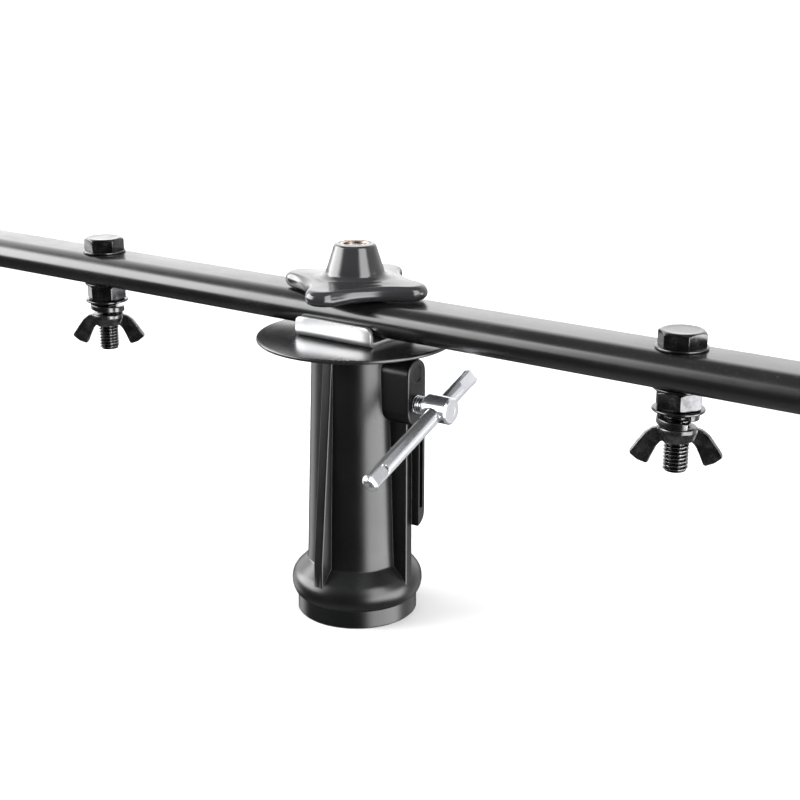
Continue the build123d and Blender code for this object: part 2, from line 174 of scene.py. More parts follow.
def merge(name, parts):
    """One object that holds the meshes of several, which are removed."""
    bm = bmesh.new()
    for part in parts:
        bm.from_mesh(part.data)
    data = bpy.data.meshes.new(name)
    bm.to_mesh(data)
    bm.free()
    for part in parts:
        bpy.data.objects.remove(part)
    ob = bpy.data.objects.new(name, data)
    scene.collection.objects.link(ob)
    return ob


def fit(ob, body, mat, replaced):
    """Gives a finished piece its material, if it has none, and its body, and hides the CAD node
    it replaces.
    """
    if not ob.data.materials:
        ob.data.materials.append(mat)
    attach(ob, body)
    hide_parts(replaced)


# ---------------------------------------------------------------- outlines
def fillet(corners, steps, closed=False):
    """Rounds the corners of a polyline with arcs. corners holds (a, b, radius), 0 for none."""
    count = len(corners)
    points = [np.array(c[:2], float) for c in corners]
    out = []
    for i in range(count):
        radius, corner = corners[i][2], points[i]
        if radius <= 0 or (not closed and i in (0, count - 1)):
            out.append(corner)
            continue
        back, ahead = points[i - 1] - corner, points[(i + 1) % count] - corner
        back_length, ahead_length = np.linalg.norm(back), np.linalg.norm(ahead)
        back, ahead = back / back_length, ahead / ahead_length
        half = math.acos(float(np.clip(back @ ahead, -1, 1))) / 2
        if half > math.pi / 2 - 0.01:  # the two sides are nearly in line
            out.append(corner)
            continue
        trim = min(radius / math.tan(half), back_length * 0.49, ahead_length * 0.49)
        fitted = trim * math.tan(half)
        middle = back + ahead
        centre = corner + middle / np.linalg.norm(middle) * (fitted / math.sin(half))
        start, end = corner + back * trim - centre, corner + ahead * trim - centre
        sweep = math.acos(float(np.clip(start @ end / (fitted * fitted), -1, 1)))
        for k in range(steps + 1):
            q = k / steps
            spoke = math.sin((1 - q) * sweep) * start + math.sin(q * sweep) * end
            out.append(centre + spoke / max(math.sin(sweep), 1e-9))
    return out


def arc_through(start, middle, end, steps):
    """Points of the arc through three points, without the first."""
    (ax, ay), (bx, by), (cx, cy) = start, middle, end
    a2, b2, c2 = ax * ax + ay * ay, bx * bx + by * by, cx * cx + cy * cy
    d = 2 * (ax * (by - cy) + bx * (cy - ay) + cx * (ay - by))
    ux = (a2 * (by - cy) + b2 * (cy - ay) + c2 * (ay - by)) / d
    uy = (a2 * (cx - bx) + b2 * (ax - cx) + c2 * (bx - ax)) / d
    r = math.hypot(ax - ux, ay - uy)
    t0, t1, t2 = (math.atan2(y - uy, x - ux) for x, y in (start, middle, end))
    span = (t2 - t0) % TAU
    if (t1 - t0) % TAU > span:
        span -= TAU
    angles = [t0 + span * k / steps for k in range(1, steps + 1)]
    return [(ux + r * math.cos(a), uy + r * math.sin(a)) for a in angles]


def hex_outline(side_steps=10):
    """Hexagon with rounded corners, its long sides divided into side_steps."""
    r = HEX_FLATS / math.sqrt(3)
    corners = [(r * math.cos(TAU * k / 6), r * math.sin(TAU * k / 6), HEX_CORNER)
               for k in range(6)]
    loop = fillet(corners, 5, closed=True)
    out = []
    for i, a in enumerate(loop):
        b = loop[(i + 1) % len(loop)]
        out.append(a)
        if np.linalg.norm(b - a) > 2:
            out += [a + (b - a) * s / side_steps for s in range(1, side_steps)]
    return np.array(out)


def oval(width, height, steps=22):
    """Flat-sided oval in YZ, counter-clockwise, width along Y and height along Z."""
    r, offset = height / 2, (width - height) / 2
    out = []
    for side, start in ((1, -90), (-1, 90)):
        for k in range(steps + 1):
            a = math.radians(start + 180 * k / steps)
            out.append((side * offset + r * math.cos(a), r * math.sin(a)))
    return out


# ---------------------------------------------------------------- mesh data
def ring_quads(rings, count, closed=False):
    """Quads between neighbouring rings of count points each."""
    faces = []
    for i in range(rings if closed else rings - 1):
        j = (i + 1) % rings
        for k in range(count):
            m = (k + 1) % count
            faces.append((i * count + k, i * count + m, j * count + m, j * count + k))
    return faces


def loft(loops):
    """Closed body through equal-length loops, with flat ends."""
    count, rings = len(loops[0]), len(loops)
    faces = ring_quads(rings, count)
    faces.append(tuple(range(count)))
    faces.append(tuple(range((rings - 1) * count, rings * count)))
    return [p for loop in loops for p in loop], faces


def prism(outline, z0, z1):
    return loft([[(x, y, z) for x, y in outline] for z in (z0, z1)])


def polar_rings(rings, directions, closed=False):
    """Skin about Z through rings of (radius, z), each one number or one per direction."""
    one = np.ones(len(directions))
    verts = []
    for radius, height in rings:
        verts += [(ux * r, uy * r, z)
                  for (ux, uy), r, z in zip(directions, one * radius, one * height)]
    return np.array(verts), ring_quads(len(rings), len(directions), closed)


def lathe(profile, segments=96, closed=True):
    """Profile of (radius, z) turned about Z. closed joins its last point to the first."""
    profile = np.array(profile, float)
    count = len(profile)
    angles = np.arange(segments) * TAU / segments
    verts = np.empty((segments, count, 3))
    verts[:, :, 0] = profile[None, :, 0] * np.cos(angles)[:, None]
    verts[:, :, 1] = profile[None, :, 0] * np.sin(angles)[:, None]
    verts[:, :, 2] = profile[None, :, 1]
    on_axis = [p[0] < 1e-9 for p in profile]
    faces = []
    for i in range(segments):
        j = (i + 1) % segments
        for k in range(count if closed else count - 1):
            m = (k + 1) % count
            a, b, c, d = i * count + k, i * count + m, j * count + m, j * count + k
            if on_axis[k] and on_axis[m]:
                continue
            if on_axis[k]:
                faces.append((a, b, c))
            elif on_axis[m]:
                faces.append((a, b, d))
            else:
                faces.append((a, b, c, d))
    return verts.reshape(-1, 3), faces


def cylinder(radius, z0, z1, segments):
    return lathe([(0, z0), (radius, z0), (radius, z1), (0, z1)], segments, closed=False)


def turned(mesh, degrees):
    """Mesh data turned about Z."""
    a = math.radians(degrees)
    verts = np.array(mesh[0], float)
    x, y = verts[:, 0].copy(), verts[:, 1].copy()
    verts[:, 0] = x * math.cos(a) - y * math.sin(a)
    verts[:, 1] = x * math.sin(a) + y * math.cos(a)
    return verts, mesh[1]


def along_x(mesh):
    """Turns mesh data built about +Z so that its axis runs along +X."""
    verts = np.array(mesh[0], float)
    return np.stack([verts[:, 2], verts[:, 1], -verts[:, 0]], 1), mesh[1]


def moved(mesh, x=0, z=0):
    return np.array(mesh[0], float) + np.array([x, 0, z], float), mesh[1]


def joined(*meshes):
    all_verts, all_faces, base = [], [], 0
    for verts, faces in meshes:
        all_verts.append(np.asarray(verts, float))
        all_faces += [tuple(i + base for i in face) for face in faces]
        base += len(verts)
    return np.concatenate(all_verts), all_faces


# One turn of thread: (height in pitches, depth in thread depths)
THREAD_FLANK = [(0.0, 0.0), (0.10, 0.0), (0.40, 1.0), (0.47, 1.03),
                (0.60, 1.03), (0.67, 1.0), (0.97, 0.0)]


def thread(radius, pitch, z0, z1, segments=40, chamfer0=0.0, chamfer1=0.0, cap1=True):
    """Right-hand helical thread about Z with flat ends. 0 is its low end, 1 its high end."""
    depth = 0.613 * pitch
    turns = int(math.ceil((z1 - z0) / pitch)) + 2
    count = len(THREAD_FLANK)
    total = turns * segments + 1
    verts = []
    for i in range(total):
        turn = i / segments
        a = TAU * turn
        for height, sink in THREAD_FLANK:
            z = min(max(z0 - pitch + (turn + height) * pitch, z0), z1)
            r = radius - depth * sink
            if chamfer1 and z1 - z < chamfer1:
                r = min(r, radius - (chamfer1 - (z1 - z)))
            if chamfer0 and z - z0 < chamfer0:
                r = min(r, radius - (chamfer0 - (z - z0)))
            verts.append((r * math.cos(a), r * math.sin(a), z))
    faces = []
    for i in range(total - 1):
        for k in range(count):
            a, b = i * count + k, (i + 1) * count + k
            if k < count - 1:
                c, d = b + 1, a + 1
            elif i + segments + 1 < total:  # joins the start of the flank one turn on
                c, d = (i + segments + 1) * count, (i + segments) * count
            else:
                continue
            heights = [verts[n][2] for n in (a, b, c, d)]
            if max(heights) - min(heights) >= 1e-9:
                faces.append((a, b, c, d))
    # Closing discs
    for cap, z, chamfer in ((True, z0, chamfer0), (cap1, z1, chamfer1)):
        if cap:
            r = radius - (chamfer or depth * 0.5)
            base = len(verts)
            verts.append((0, 0, z))
            for s in range(segments):
                a = TAU * s / segments
                verts.append((r * math.cos(a), r * math.sin(a), z))
            for s in range(segments):
                faces.append((base, base + 1 + s, base + 1 + (s + 1) % segments))
    return np.array(verts), faces


def hex_end(R, z, outward, chamfered):
    """Rings from the side wall (radii R) to the end face. outward is +1 at the top."""
    e = HEX_EDGE
    if not chamfered:
        return [(R, z - outward * e), (R - 0.3 * e, z - outward * 0.3 * e), (R - e, z)]
    slope = math.tan(math.radians(30))
    cone_z = z - outward * (R - HEX_FACE) * slope
    limit = HEX_FACE + 0.05
    return [(R, cone_z - outward * e),
            (R - 0.10 * e, cone_z - outward * e * 0.35),
            (R - 0.42 * e, cone_z + outward * e * 0.12),
            (np.maximum(R - e, limit),
             np.where(R - e > limit, cone_z + outward * e * slope, z - outward * 0.05 * slope)),
            (HEX_FACE + 0.02, z - outward * 0.03),
            (HEX_FACE - 0.18, z)]


def hexagon(z0, z1, chamfer_top=True, chamfer_bottom=False, bore=None, dish=0.0):
    """Hexagon head or nut. 30 degree cones cut its corners, and its edges are eased."""
    outline = hex_outline()
    R = np.linalg.norm(outline, axis=1)
    top, bottom = hex_end(R, z1, 1, chamfer_top), hex_end(R, z0, -1, chamfer_bottom)
    if bore:
        sink = 0.55  # countersink
        top += [(bore + sink + 0.2, z1), (bore + sink, z1 - 0.03), (bore, z1 - sink)]
        bottom += [(bore + sink + 0.2, z0), (bore + sink, z0 + 0.03), (bore, z0 + sink)]
    else:
        if dish:
            top += [(HEX_FACE * 0.9, z1), (HEX_FACE * 0.82, z1 - dish * 0.5),
                    (HEX_FACE * 0.74, z1 - dish), (HEX_FACE * 0.4, z1 - dish * 1.05),
                    (1e-6, z1 - dish * 1.1)]
        else:
            top += [(HEX_FACE * 0.5, z1), (1e-6, z1)]
        bottom += [(HEX_FACE * 0.5, z0), (1e-6, z0)]
    return polar_rings(top[::-1] + bottom, outline / R[:, None], closed=bool(bore))


def washer(r_in, r_out, z0, z1, segments=96):
    corners = [(r_in, z0, 0.12), (r_out, z0, WASHER_EDGE),
               (r_out, z1, WASHER_EDGE), (r_in, z1, 0.12)]
    return lathe(fillet(corners, 4, closed=True), segments)


# ---------------------------------------------------------------- shader helpers
def feed(tree, socket, value):
    """Sets an input to a number or a colour, or links it to a Value or a socket."""
    if isinstance(value, Value):
        value = value.socket
    if isinstance(value, bpy.types.NodeSocket):
        tree.links.new(value, socket)
    elif isinstance(value, tuple):
        socket.default_value = (*value, 1.0)
    else:
        socket.default_value = value


class Value:
    """A shader value that builds Math nodes as it is combined."""

    def __init__(self, tree, socket):
        self.tree, self.socket = tree, socket

    def op(self, name, *others, clamp=False):
        node = self.tree.nodes.new("ShaderNodeMath")
        node.operation = name
        node.use_clamp = clamp
        for i, value in enumerate((self, *others)):
            feed(self.tree, node.inputs[i], value)
        return Value(self.tree, node.outputs[0])

    def __add__(self, other):
        return self.op("ADD", other)

    def __mul__(self, other):
        return self.op("MULTIPLY", other)

    def __sub__(self, other):
        return self.op("SUBTRACT", other)

    def clamp(self):
        return self.op("ADD", 0.0, clamp=True)

    def smooth(self, low, high, at_low=0.0, at_high=1.0):
        """Smooth step from at_low to at_high as the value goes from low to high."""
        node = self.tree.nodes.new("ShaderNodeMapRange")
        node.interpolation_type = "SMOOTHSTEP"
        feed(self.tree, node.inputs["Value"], self)
        node.inputs["From Min"].default_value = low
        node.inputs["From Max"].default_value = high
        node.inputs["To Min"].default_value = at_low
        node.inputs["To Max"].default_value = at_high
        return Value(self.tree, node.outputs["Result"])


def window(value, low, high, soft):
    """1 between low and high, with a soft step centred on each."""
    return (value.smooth(low - soft, low + soft)
            * value.smooth(high - soft, high + soft, at_low=1.0, at_high=0.0))


def noise(tree, scale, detail=3.0, rough=0.55, stretch=None, distort=0.0):
    source = tree.nodes.new("ShaderNodeTexCoord").outputs["Object"]
    if stretch:
        mapping = tree.nodes.new("ShaderNodeMapping")
        mapping.inputs["Scale"].default_value = stretch
        tree.links.new(source, mapping.inputs["Vector"])
        source = mapping.outputs["Vector"]
    node = tree.nodes.new("ShaderNodeTexNoise")
    node.inputs["Scale"].default_value = scale
    node.inputs["Detail"].default_value = detail
    node.inputs["Roughness"].default_value = rough
    node.inputs["Distortion"].default_value = distort
    tree.links.new(source, node.inputs["Vector"])
    return Value(tree, node.outputs["Fac"])


def mix_colour(tree, factor, first, second):
    node = tree.nodes.new("ShaderNodeMix")
    node.data_type = "RGBA"
    feed(tree, node.inputs["Factor"], factor)
    feed(tree, node.inputs[6], first)
    feed(tree, node.inputs[7], second)
    return node.outputs[2]


def bevel_normal(tree, radius):
    node = tree.nodes.new("ShaderNodeBevel")
    node.samples = 6
    node.inputs["Radius"].default_value = radius * MM
    return node.outputs["Normal"]


def bump(tree, height, strength, distance, normal):
    """Bump on top of the normal given, which may be None."""
    node = tree.nodes.new("ShaderNodeBump")
    node.inputs["Strength"].default_value = strength
    node.inputs["Distance"].default_value = distance * MM
    feed(tree, node.inputs["Height"], height)
    if normal:
        feed(tree, node.inputs["Normal"], normal)
    return node.outputs["Normal"]


def dusted(tree, colour, amount):
    """Grey specks on the faces that look up."""
    geometry = tree.nodes.new("ShaderNodeNewGeometry")
    split = tree.nodes.new("ShaderNodeSeparateXYZ")
    tree.links.new(geometry.outputs["Normal"], split.inputs[0])
    specks = (noise(tree, scale=900.0, detail=2.0).smooth(0.60, 0.72)
              * Value(tree, split.outputs["Z"]).smooth(0.2, 0.9))
    return mix_colour(tree, specks * amount, colour, (0.35, 0.35, 0.36))


def edge_wear(tree, radius, amount):
    """Patchy mask along edges: where a rounded normal departs from the true one."""
    rounded = bevel_normal(tree, radius)
    geometry = tree.nodes.new("ShaderNodeNewGeometry")
    dot = tree.nodes.new("ShaderNodeVectorMath")
    dot.operation = "DOT_PRODUCT"
    tree.links.new(rounded, dot.inputs[0])
    tree.links.new(geometry.outputs["Normal"], dot.inputs[1])
    edges = Value(tree, dot.outputs["Value"]).smooth(0.80, 0.985, at_low=1.0, at_high=0.0)
    patches = noise(tree, scale=260.0, detail=5.0, rough=0.7).smooth(0.26, 0.58)
    return edges * patches * amount


def material(name, colour, rough, metallic=0.0, spec=0.5, colour2=None, mottle=(60.0, 0.06),
             grain=None, fine=None, brushed=None, edge=None, bevel=0.0, smudge=0.0, dust=0.0):
    """Procedural material. Groups of numbers:
    mottle: noise scale, roughness swing
    grain, fine: noise scale, bump strength, bump distance in mm
    brushed: noise stretch in x, y and z, scale, bump strength, roughness swing
    edge: radius in mm, colour, amount, roughness of worn edges
    bevel is a shading radius in mm; smudge and dust are amounts.
    """
    mat = bpy.data.materials.new(name)
    mat.use_nodes = True
    tree = mat.node_tree
    tree.nodes.clear()
    output = tree.nodes.new("ShaderNodeOutputMaterial")
    shader = tree.nodes.new("ShaderNodeBsdfPrincipled")
    tree.links.new(shader.outputs[0], output.inputs[0])
    shader.inputs["Metallic"].default_value = metallic
    shader.inputs["Specular IOR Level"].default_value = spec
    shader.inputs["Coat Roughness"].default_value = 0.12

    scale, swing = mottle
    broad = noise(tree, scale, detail=4.0)
    close = noise(tree, scale * 9, detail=3.0)
    colour2 = colour2 or tuple(min(1.0, c * 1.25) for c in colour)
    colour = mix_colour(tree, broad.smooth(0.32, 0.7), colour, colour2)
    roughness = (broad.smooth(0.3, 0.72, rough - swing, rough + swing)
                 + close.smooth(0.35, 0.7, -0.35 * swing, 0.35 * swing))
    if smudge:
        smears = noise(tree, scale=22.0, detail=5.0, rough=0.65, distort=0.6)
        roughness = roughness + smears.smooth(0.52, 0.68) * smudge
    if brushed:
        stretch, brush_scale, brush_bump, brush_swing = brushed
        streaks = noise(tree, brush_scale, detail=2.0, rough=0.5, stretch=stretch)
        roughness = roughness + streaks.smooth(0.3, 0.7, -brush_swing, brush_swing)
    if dust:
        colour = dusted(tree, colour, dust)
    normal = bevel_normal(tree, bevel) if bevel else None
    if edge:
        edge_radius, edge_colour, edge_amount, edge_rough = edge
        wear = edge_wear(tree, edge_radius, edge_amount)
        colour = mix_colour(tree, wear, colour, edge_colour)
        unworn = wear.smooth(0.0, 1.0, at_low=1.0, at_high=0.0)
        roughness = roughness * unworn + wear * edge_rough
    for layer in (grain, fine):
        if layer:
            scale, strength, distance = layer
            height = noise(tree, scale, detail=3.0, rough=0.6)
            normal = bump(tree, height, strength, distance, normal)
    if brushed:
        height = noise(tree, brush_scale * 1.6, detail=2.0, rough=0.5, stretch=stretch)
        normal = bump(tree, height, brush_bump, 0.05, normal)
    if normal:
        feed(tree, shader.inputs["Normal"], normal)
    feed(tree, shader.inputs["Base Color"], colour)
    feed(tree, shader.inputs["Roughness"], roughness.clamp())
    return mat


def painted_root_shade(mat, name, radius, root, crest, part, amount=0.85):
    """Copy of a material with painted shade that darkens from the thread's crest radius to its
    root radius.

    radius(x, y, z) is the distance from the thread's axis and part(x, y, z) is 1 where
    the thread is, both from mesh coordinates in millimetres.
    """
    mat = mat.copy()
    mat.name = name
    tree = mat.node_tree
    shader = next(n for n in tree.nodes if n.type == "BSDF_PRINCIPLED")
    colour = shader.inputs["Base Color"].links[0].from_socket
    coords = tree.nodes.new("ShaderNodeTexCoord")
    split = tree.nodes.new("ShaderNodeSeparateXYZ")
    tree.links.new(coords.outputs["Object"], split.inputs[0])
    x, y, z = (Value(tree, split.outputs[i]) * 1000.0 for i in range(3))
    # Painted shade in the thread's grooves: near-black mixed in towards the root radius
    root_shade = radius(x, y, z).smooth(root, crest, amount, 0.0) * part(x, y, z)
    colour = mix_colour(tree, root_shade, colour, (0.006, 0.006, 0.006))
    tree.links.new(colour, shader.inputs["Base Color"])
    return mat


def lamp_bolt_radius(x, y, z):
    """Distance from the nearest lamp bolt's axis: the bolts are one pitch apart."""
    x = x - LAMP_PITCH / 2
    x = x - (x * (1 / LAMP_PITCH)).op("ROUND") * LAMP_PITCH
    return (x * x + y * y).op("SQRT")


def clamp_screw_radius(x, y, z):
    z = z - (TOP - CLAMP_DROP)
    return (y * y + z * z).op("SQRT")


# ---------------------------------------------------------------- materials
SOCKET_PLASTIC = material(
    "socket_plastic", colour=(0.0030, 0.0031, 0.0034), rough=0.30, spec=0.42,
    mottle=(45.0, 0.02), grain=(2600.0, 0.04, 0.04), fine=(420.0, 0.05, 0.10),
    edge=(0.45, (0.10, 0.10, 0.105), 0.30, 0.35), bevel=0.35, dust=0.03)
PLATE_BLACK = material(
    "plate_black", colour=(0.0055, 0.0056, 0.0060), rough=0.26, spec=0.55,
    mottle=(40.0, 0.015), edge=(0.5, (0.13, 0.13, 0.135), 0.35, 0.3), bevel=0.2, dust=0.04)
BAR_BLACK = material(
    "bar_black", colour=(0.0042, 0.0043, 0.0046), rough=0.245, spec=0.55,
    mottle=(30.0, 0.03), grain=(1500.0, 0.03, 0.03), fine=(5200.0, 0.04, 0.02),
    edge=(0.5, (0.12, 0.12, 0.12), 0.30, 0.3), dust=0.04)
HARDWARE = material(
    "black_hardware", colour=(0.045, 0.045, 0.047), colour2=(0.095, 0.095, 0.098),
    rough=0.22, metallic=0.97, mottle=(190.0, 0.07), grain=(1300.0, 0.20, 0.05),
    edge=(0.45, (0.55, 0.55, 0.56), 0.9, 0.2), bevel=0.14)
CAST = material(
    "black_cast", colour=(0.050, 0.050, 0.052), colour2=(0.125, 0.125, 0.128),
    rough=0.26, metallic=0.93, mottle=(200.0, 0.08), grain=(1000.0, 0.40, 0.09),
    edge=(0.50, (0.5, 0.5, 0.52), 0.85, 0.22))
KNOB_PLASTIC = material(
    "knob_plastic", colour=(0.016, 0.016, 0.0172), rough=0.15, spec=0.52,
    mottle=(35.0, 0.03), fine=(600.0, 0.03, 0.05), smudge=0.03, dust=0.03)
BRASS = material(
    "brass", colour=(0.42, 0.345, 0.29), colour2=(0.25, 0.20, 0.165),
    rough=0.30, metallic=1.0, mottle=(200.0, 0.07), grain=(1500.0, 0.12, 0.03),
    edge=(0.3, (0.8, 0.7, 0.6), 0.5, 0.2))
STEEL = material(
    "steel_end", colour=(0.55, 0.53, 0.50), colour2=(0.32, 0.30, 0.27),
    rough=0.28, metallic=1.0, mottle=(300.0, 0.08), grain=(1300.0, 0.25, 0.05),
    edge=(0.3, (0.9, 0.9, 0.88), 0.6, 0.2))
ZINC = material(
    "zinc_plate", colour=(0.72, 0.73, 0.755), colour2=(0.65, 0.665, 0.70),
    rough=0.24, metallic=0.93, mottle=(60.0, 0.02), grain=(900.0, 0.03, 0.03),
    edge=(0.3, (0.92, 0.92, 0.93), 0.35, 0.2))
ZINC_SHEET = material(
    "zinc_sheet", colour=(0.74, 0.735, 0.725), colour2=(0.68, 0.685, 0.70),
    rough=0.31, metallic=0.92, mottle=(70.0, 0.02),
    brushed=((20.0, 2600.0, 2600.0), 1.0, 0.10, 0.02),
    edge=(0.35, (0.9, 0.9, 0.91), 0.5, 0.15))
CAP_PLASTIC = material(
    "cap_plastic", colour=(0.0075, 0.0075, 0.0078), rough=0.48, spec=0.45,
    mottle=(60.0, 0.04), grain=(2200.0, 0.20, 0.06),
    edge=(0.4, (0.08, 0.08, 0.08), 0.3, 0.4), bevel=0.15)
INSERT_STEEL = material(
    "insert_steel", colour=(0.42, 0.42, 0.43), rough=0.3, metallic=1.0,
    mottle=(200.0, 0.06), grain=(1200.0, 0.1, 0.03))
SHOE_ACETAL = material(
    "shoe_acetal", colour=(0.62, 0.62, 0.58), rough=0.42,
    mottle=(90.0, 0.04), grain=(1500.0, 0.1, 0.03))
# Bolt and screw materials with painted shade darkening their thread roots
BOLT_BLACK = painted_root_shade(
    HARDWARE, "black_bolt_root_shade", radius=lamp_bolt_radius, root=4.15, crest=4.8,
    part=lambda x, y, z: z.smooth(TOP + 19.6, TOP + 19.7, 1.0, 0.0))
SCREW_ZINC = painted_root_shade(
    ZINC, "zinc_screw_root_shade", radius=clamp_screw_radius, root=3.25, crest=3.85,
    part=lambda x, y, z: x.smooth(38.0, 38.3, 1.0, 0.0), amount=0.8)

# ---------------------------------------------------------------- socket
BORE_RADIUS = 17.8
BOLT_HOLE = 5.15
LEDGE = 1.8  # socket's upper face below TOP
SLEEVE_TOP_RADIUS, SLEEVE_FOOT_RADIUS = 19.56, 22.6
SLEEVE_FOOT = 103.9  # end of the tapered sleeve below TOP
SLEEVE_STEPS = 12
# Bulge round the foot: start, middle and end of each arc as (radius, below TOP), steps
SKIRT_ARCS = [
    ((27.6, 109.2), (29.3, 111.7), (30.0, 114.6), 14),
    ((30.0, 114.6), (29.65, 117.9), (28.6, 120.4), 12),
    ((28.6, 120.4), (27.85, 120.95), (27.4, 121.6), 6),
]
# Upright ribs: heights below TOP, reach from the axis at each, corner radius, turns from +Y
RIBS = [
    ((4.0, 101.0, 113.0), (20.3, 29.1, 29.1), 0.65, (0, 180)),
    ((28.0, 113.0), (29.4, 29.4), 0.72, (-90,)),
]
RIB_HALF, RIB_ROOT = 2.4, 18.3
BOSS_HALF = 6.7  # half width of the clamp boss and of the ear below it
WEB_COUNT, WEB_HALF = 8, 1.1  # webs between the pockets in the foot
POCKET_IN, POCKET_OUT = 20.4, 24.8
HEX_POCKET_FLATS = 17.2
# Stepped clamp hole along +X, as (radius, x)
CLAMP_HOLE = [(0, 13.7), (5.7, 13.7), (5.7, 21.8), (6.0, 21.8),
              (6.0, 31.4), (4.3, 31.4), (4.3, 35.0), (0, 35.0)]
# Shallow round recess in the boss above the clamp hole, as (radius, x)
RECESS = [(0, 32.9), (3.6, 32.9), (3.75, 33.05), (3.75, 35.0), (0, 35.0)]
RECESS_DROP = 12.7


def socket_profile():
    def at(radius, drop):
        return radius, TOP - drop

    taper, fall = SLEEVE_FOOT_RADIUS - SLEEVE_TOP_RADIUS, SLEEVE_FOOT - LEDGE
    profile = [at(BOLT_HOLE, LEDGE), at(SLEEVE_TOP_RADIUS, LEDGE)]
    profile += [(SLEEVE_TOP_RADIUS + taper * t / SLEEVE_STEPS,
                 TOP - LEDGE - fall * t / SLEEVE_STEPS) for t in range(1, SLEEVE_STEPS + 1)]
    profile += arc_through(at(SLEEVE_FOOT_RADIUS, SLEEVE_FOOT), at(22.8, 104.35),
                           at(23.15, 104.75), 6)
    profile.append(at(27.6, 109.2))
    for start, middle, end, steps in SKIRT_ARCS:
        profile += arc_through(at(*start), at(*middle), at(*end), steps)
    return profile + [(27.4, 0.6), (26.8, 0.0), (BORE_RADIUS, 0.0),
                      at(BORE_RADIUS, 16.8), at(BOLT_HOLE, 16.8)]


def rib(drops, reaches, radius):
    """Upright rib on the +Y side with rounded outer corners."""
    corners = [(1, np.linspace(0, math.pi / 2, 7)), (-1, np.linspace(math.pi / 2, math.pi, 7))]
    loops = []
    for drop, reach in zip(drops, reaches):
        z = TOP - drop
        loop = [(-RIB_HALF, RIB_ROOT, z), (RIB_HALF, RIB_ROOT, z)]
        for side, angles in corners:
            loop += [(side * (RIB_HALF - radius) + radius * math.cos(a),
                      reach - radius + radius * math.sin(a), z) for a in angles]
        loops.append(loop)
    return loft(loops)


def rounded_end(x0, x1, radius, steps):
    """(x, inset) stations of a body from x0 to x1 whose +X end is rounded."""
    return [(x0, 0.0), (x1 - radius, 0.0)] + [
        (x1 - radius + radius * math.sin(a), radius - radius * math.cos(a))
        for a in np.linspace(0.2, math.pi / 2, steps)]


def clamp_boss():
    """Upright slot-shaped boss on the +X side."""
    loops = []
    for x, inset in rounded_end(18.13, 33.4, radius=0.85, steps=7):
        half = BOSS_HALF - inset
        top, bottom = TOP - 6.0 - inset - half, TOP - 36.0 + inset + half
        loops.append(
            [(x, half * math.cos(a), top + half * math.sin(a))
             for a in np.linspace(0, math.pi, 28)]
            + [(x, half * math.cos(a), bottom + half * math.sin(a))
               for a in np.linspace(math.pi, TAU, 28)])
    return loft(loops)


def side_ear():
    """Ear below the boss, on the +Y half of the +X side, with a slot in it."""
    y_in, z_top, z_arc = 1.8, TOP - 30.0, TOP - 84.2 + BOSS_HALF
    loops = []
    for x, inset in rounded_end(18.21, 33.3, radius=0.7, steps=6):
        half = BOSS_HALF - inset
        arc = [(x, half * math.cos(a), z_arc + half * math.sin(a))
               for a in np.linspace(-math.acos(y_in / half), 0, 16)]
        loops.append([(x, y_in, z_top)] + arc + [(x, half, z_top)])
    ear = make("ear", loft(loops))
    slot = [(23.2, 2.4), (40, 2.4), (40, 4.9), (23.2, 4.9)]
    cut(ear, prism(slot, TOP - 75.5, TOP - 36.6))
    return ear


def foot_pockets():
    """Ring of pockets, open below, with webs between them."""
    step = 360 / WEB_COUNT
    outer_web, inner_web = math.asin(WEB_HALF / POCKET_OUT), math.asin(WEB_HALF / POCKET_IN)
    pockets = []
    for k in range(WEB_COUNT):
        a0, a1 = math.radians(22.5 + step * k), math.radians(22.5 + step * (k + 1))
        polar = [(POCKET_OUT, a) for a in np.linspace(a0 + outer_web, a1 - outer_web, 25)]
        polar += [(POCKET_IN, a) for a in np.linspace(a1 - inner_web, a0 + inner_web, 25)]
        outline = [(r * math.cos(a), r * math.sin(a)) for r, a in polar]
        pockets.append(prism(outline, -1.0, TOP - 110.5))
    return joined(*pockets)


def build_socket():
    socket = make("socket_body", lathe(socket_profile(), 240))
    for drops, reaches, radius, turns in RIBS:
        for turn in turns:
            add(socket, turned(rib(drops, reaches, radius), turn))
    add(socket, clamp_boss())
    boolean(socket, side_ear(), "UNION")
    cut(socket, foot_pockets())
    r = HEX_POCKET_FLATS / math.sqrt(3)
    corners = [math.radians(60 * k) for k in range(6)]
    cut(socket, prism([(r * math.cos(a), r * math.sin(a)) for a in corners],
                      TOP - 17.6, TOP - 9.8))
    for profile, drop in ((CLAMP_HOLE, CLAMP_DROP), (RECESS, RECESS_DROP)):
        cut(socket, moved(along_x(lathe(profile, 72, closed=False)), z=TOP - drop))
    # Clean up after the cuts
    bm = bmesh.new()
    bm.from_mesh(socket.data)
    bmesh.ops.remove_doubles(bm, verts=bm.verts, dist=2e-6)
    bmesh.ops.dissolve_degenerate(bm, edges=bm.edges, dist=1e-6)
    bmesh.ops.triangulate(bm, faces=[face for face in bm.faces if len(face.verts) > 4])
    bm.to_mesh(socket.data)
    bm.free()
    shade(socket, 26.0)
    fit(socket, "socket", SOCKET_PLASTIC, "socket_sleeve")


def build_top_plate():
    radius = (PLATE_HI[0] - PLATE_LO[0]) / 2
    z0, z1 = PLATE_LO[2], PLATE_HI[2]
    corners = [(5.2, z0, 0.2), (radius, z0, 0.75), (radius, z1, 0.75), (5.2, z1, 0.2)]
    ob = make("top_plate_disc", lathe(fillet(corners, 6, closed=True), 256))
    fit(ob, "socket", PLATE_BLACK, "top_plate")


# ---------------------------------------------------------------- centre bolt
STAKE_RADII = (4.3, 4.0, 3.4, 2.7, 2.0, 1.4, 0.9, 0.45, 0.2)
STAKE_LIMIT = 3.6  # the cross stays inside this radius
STAKE_DEPTH, STAKE_WIDTH = 0.75, 0.55
STAKE_TURN = 0.55  # radians


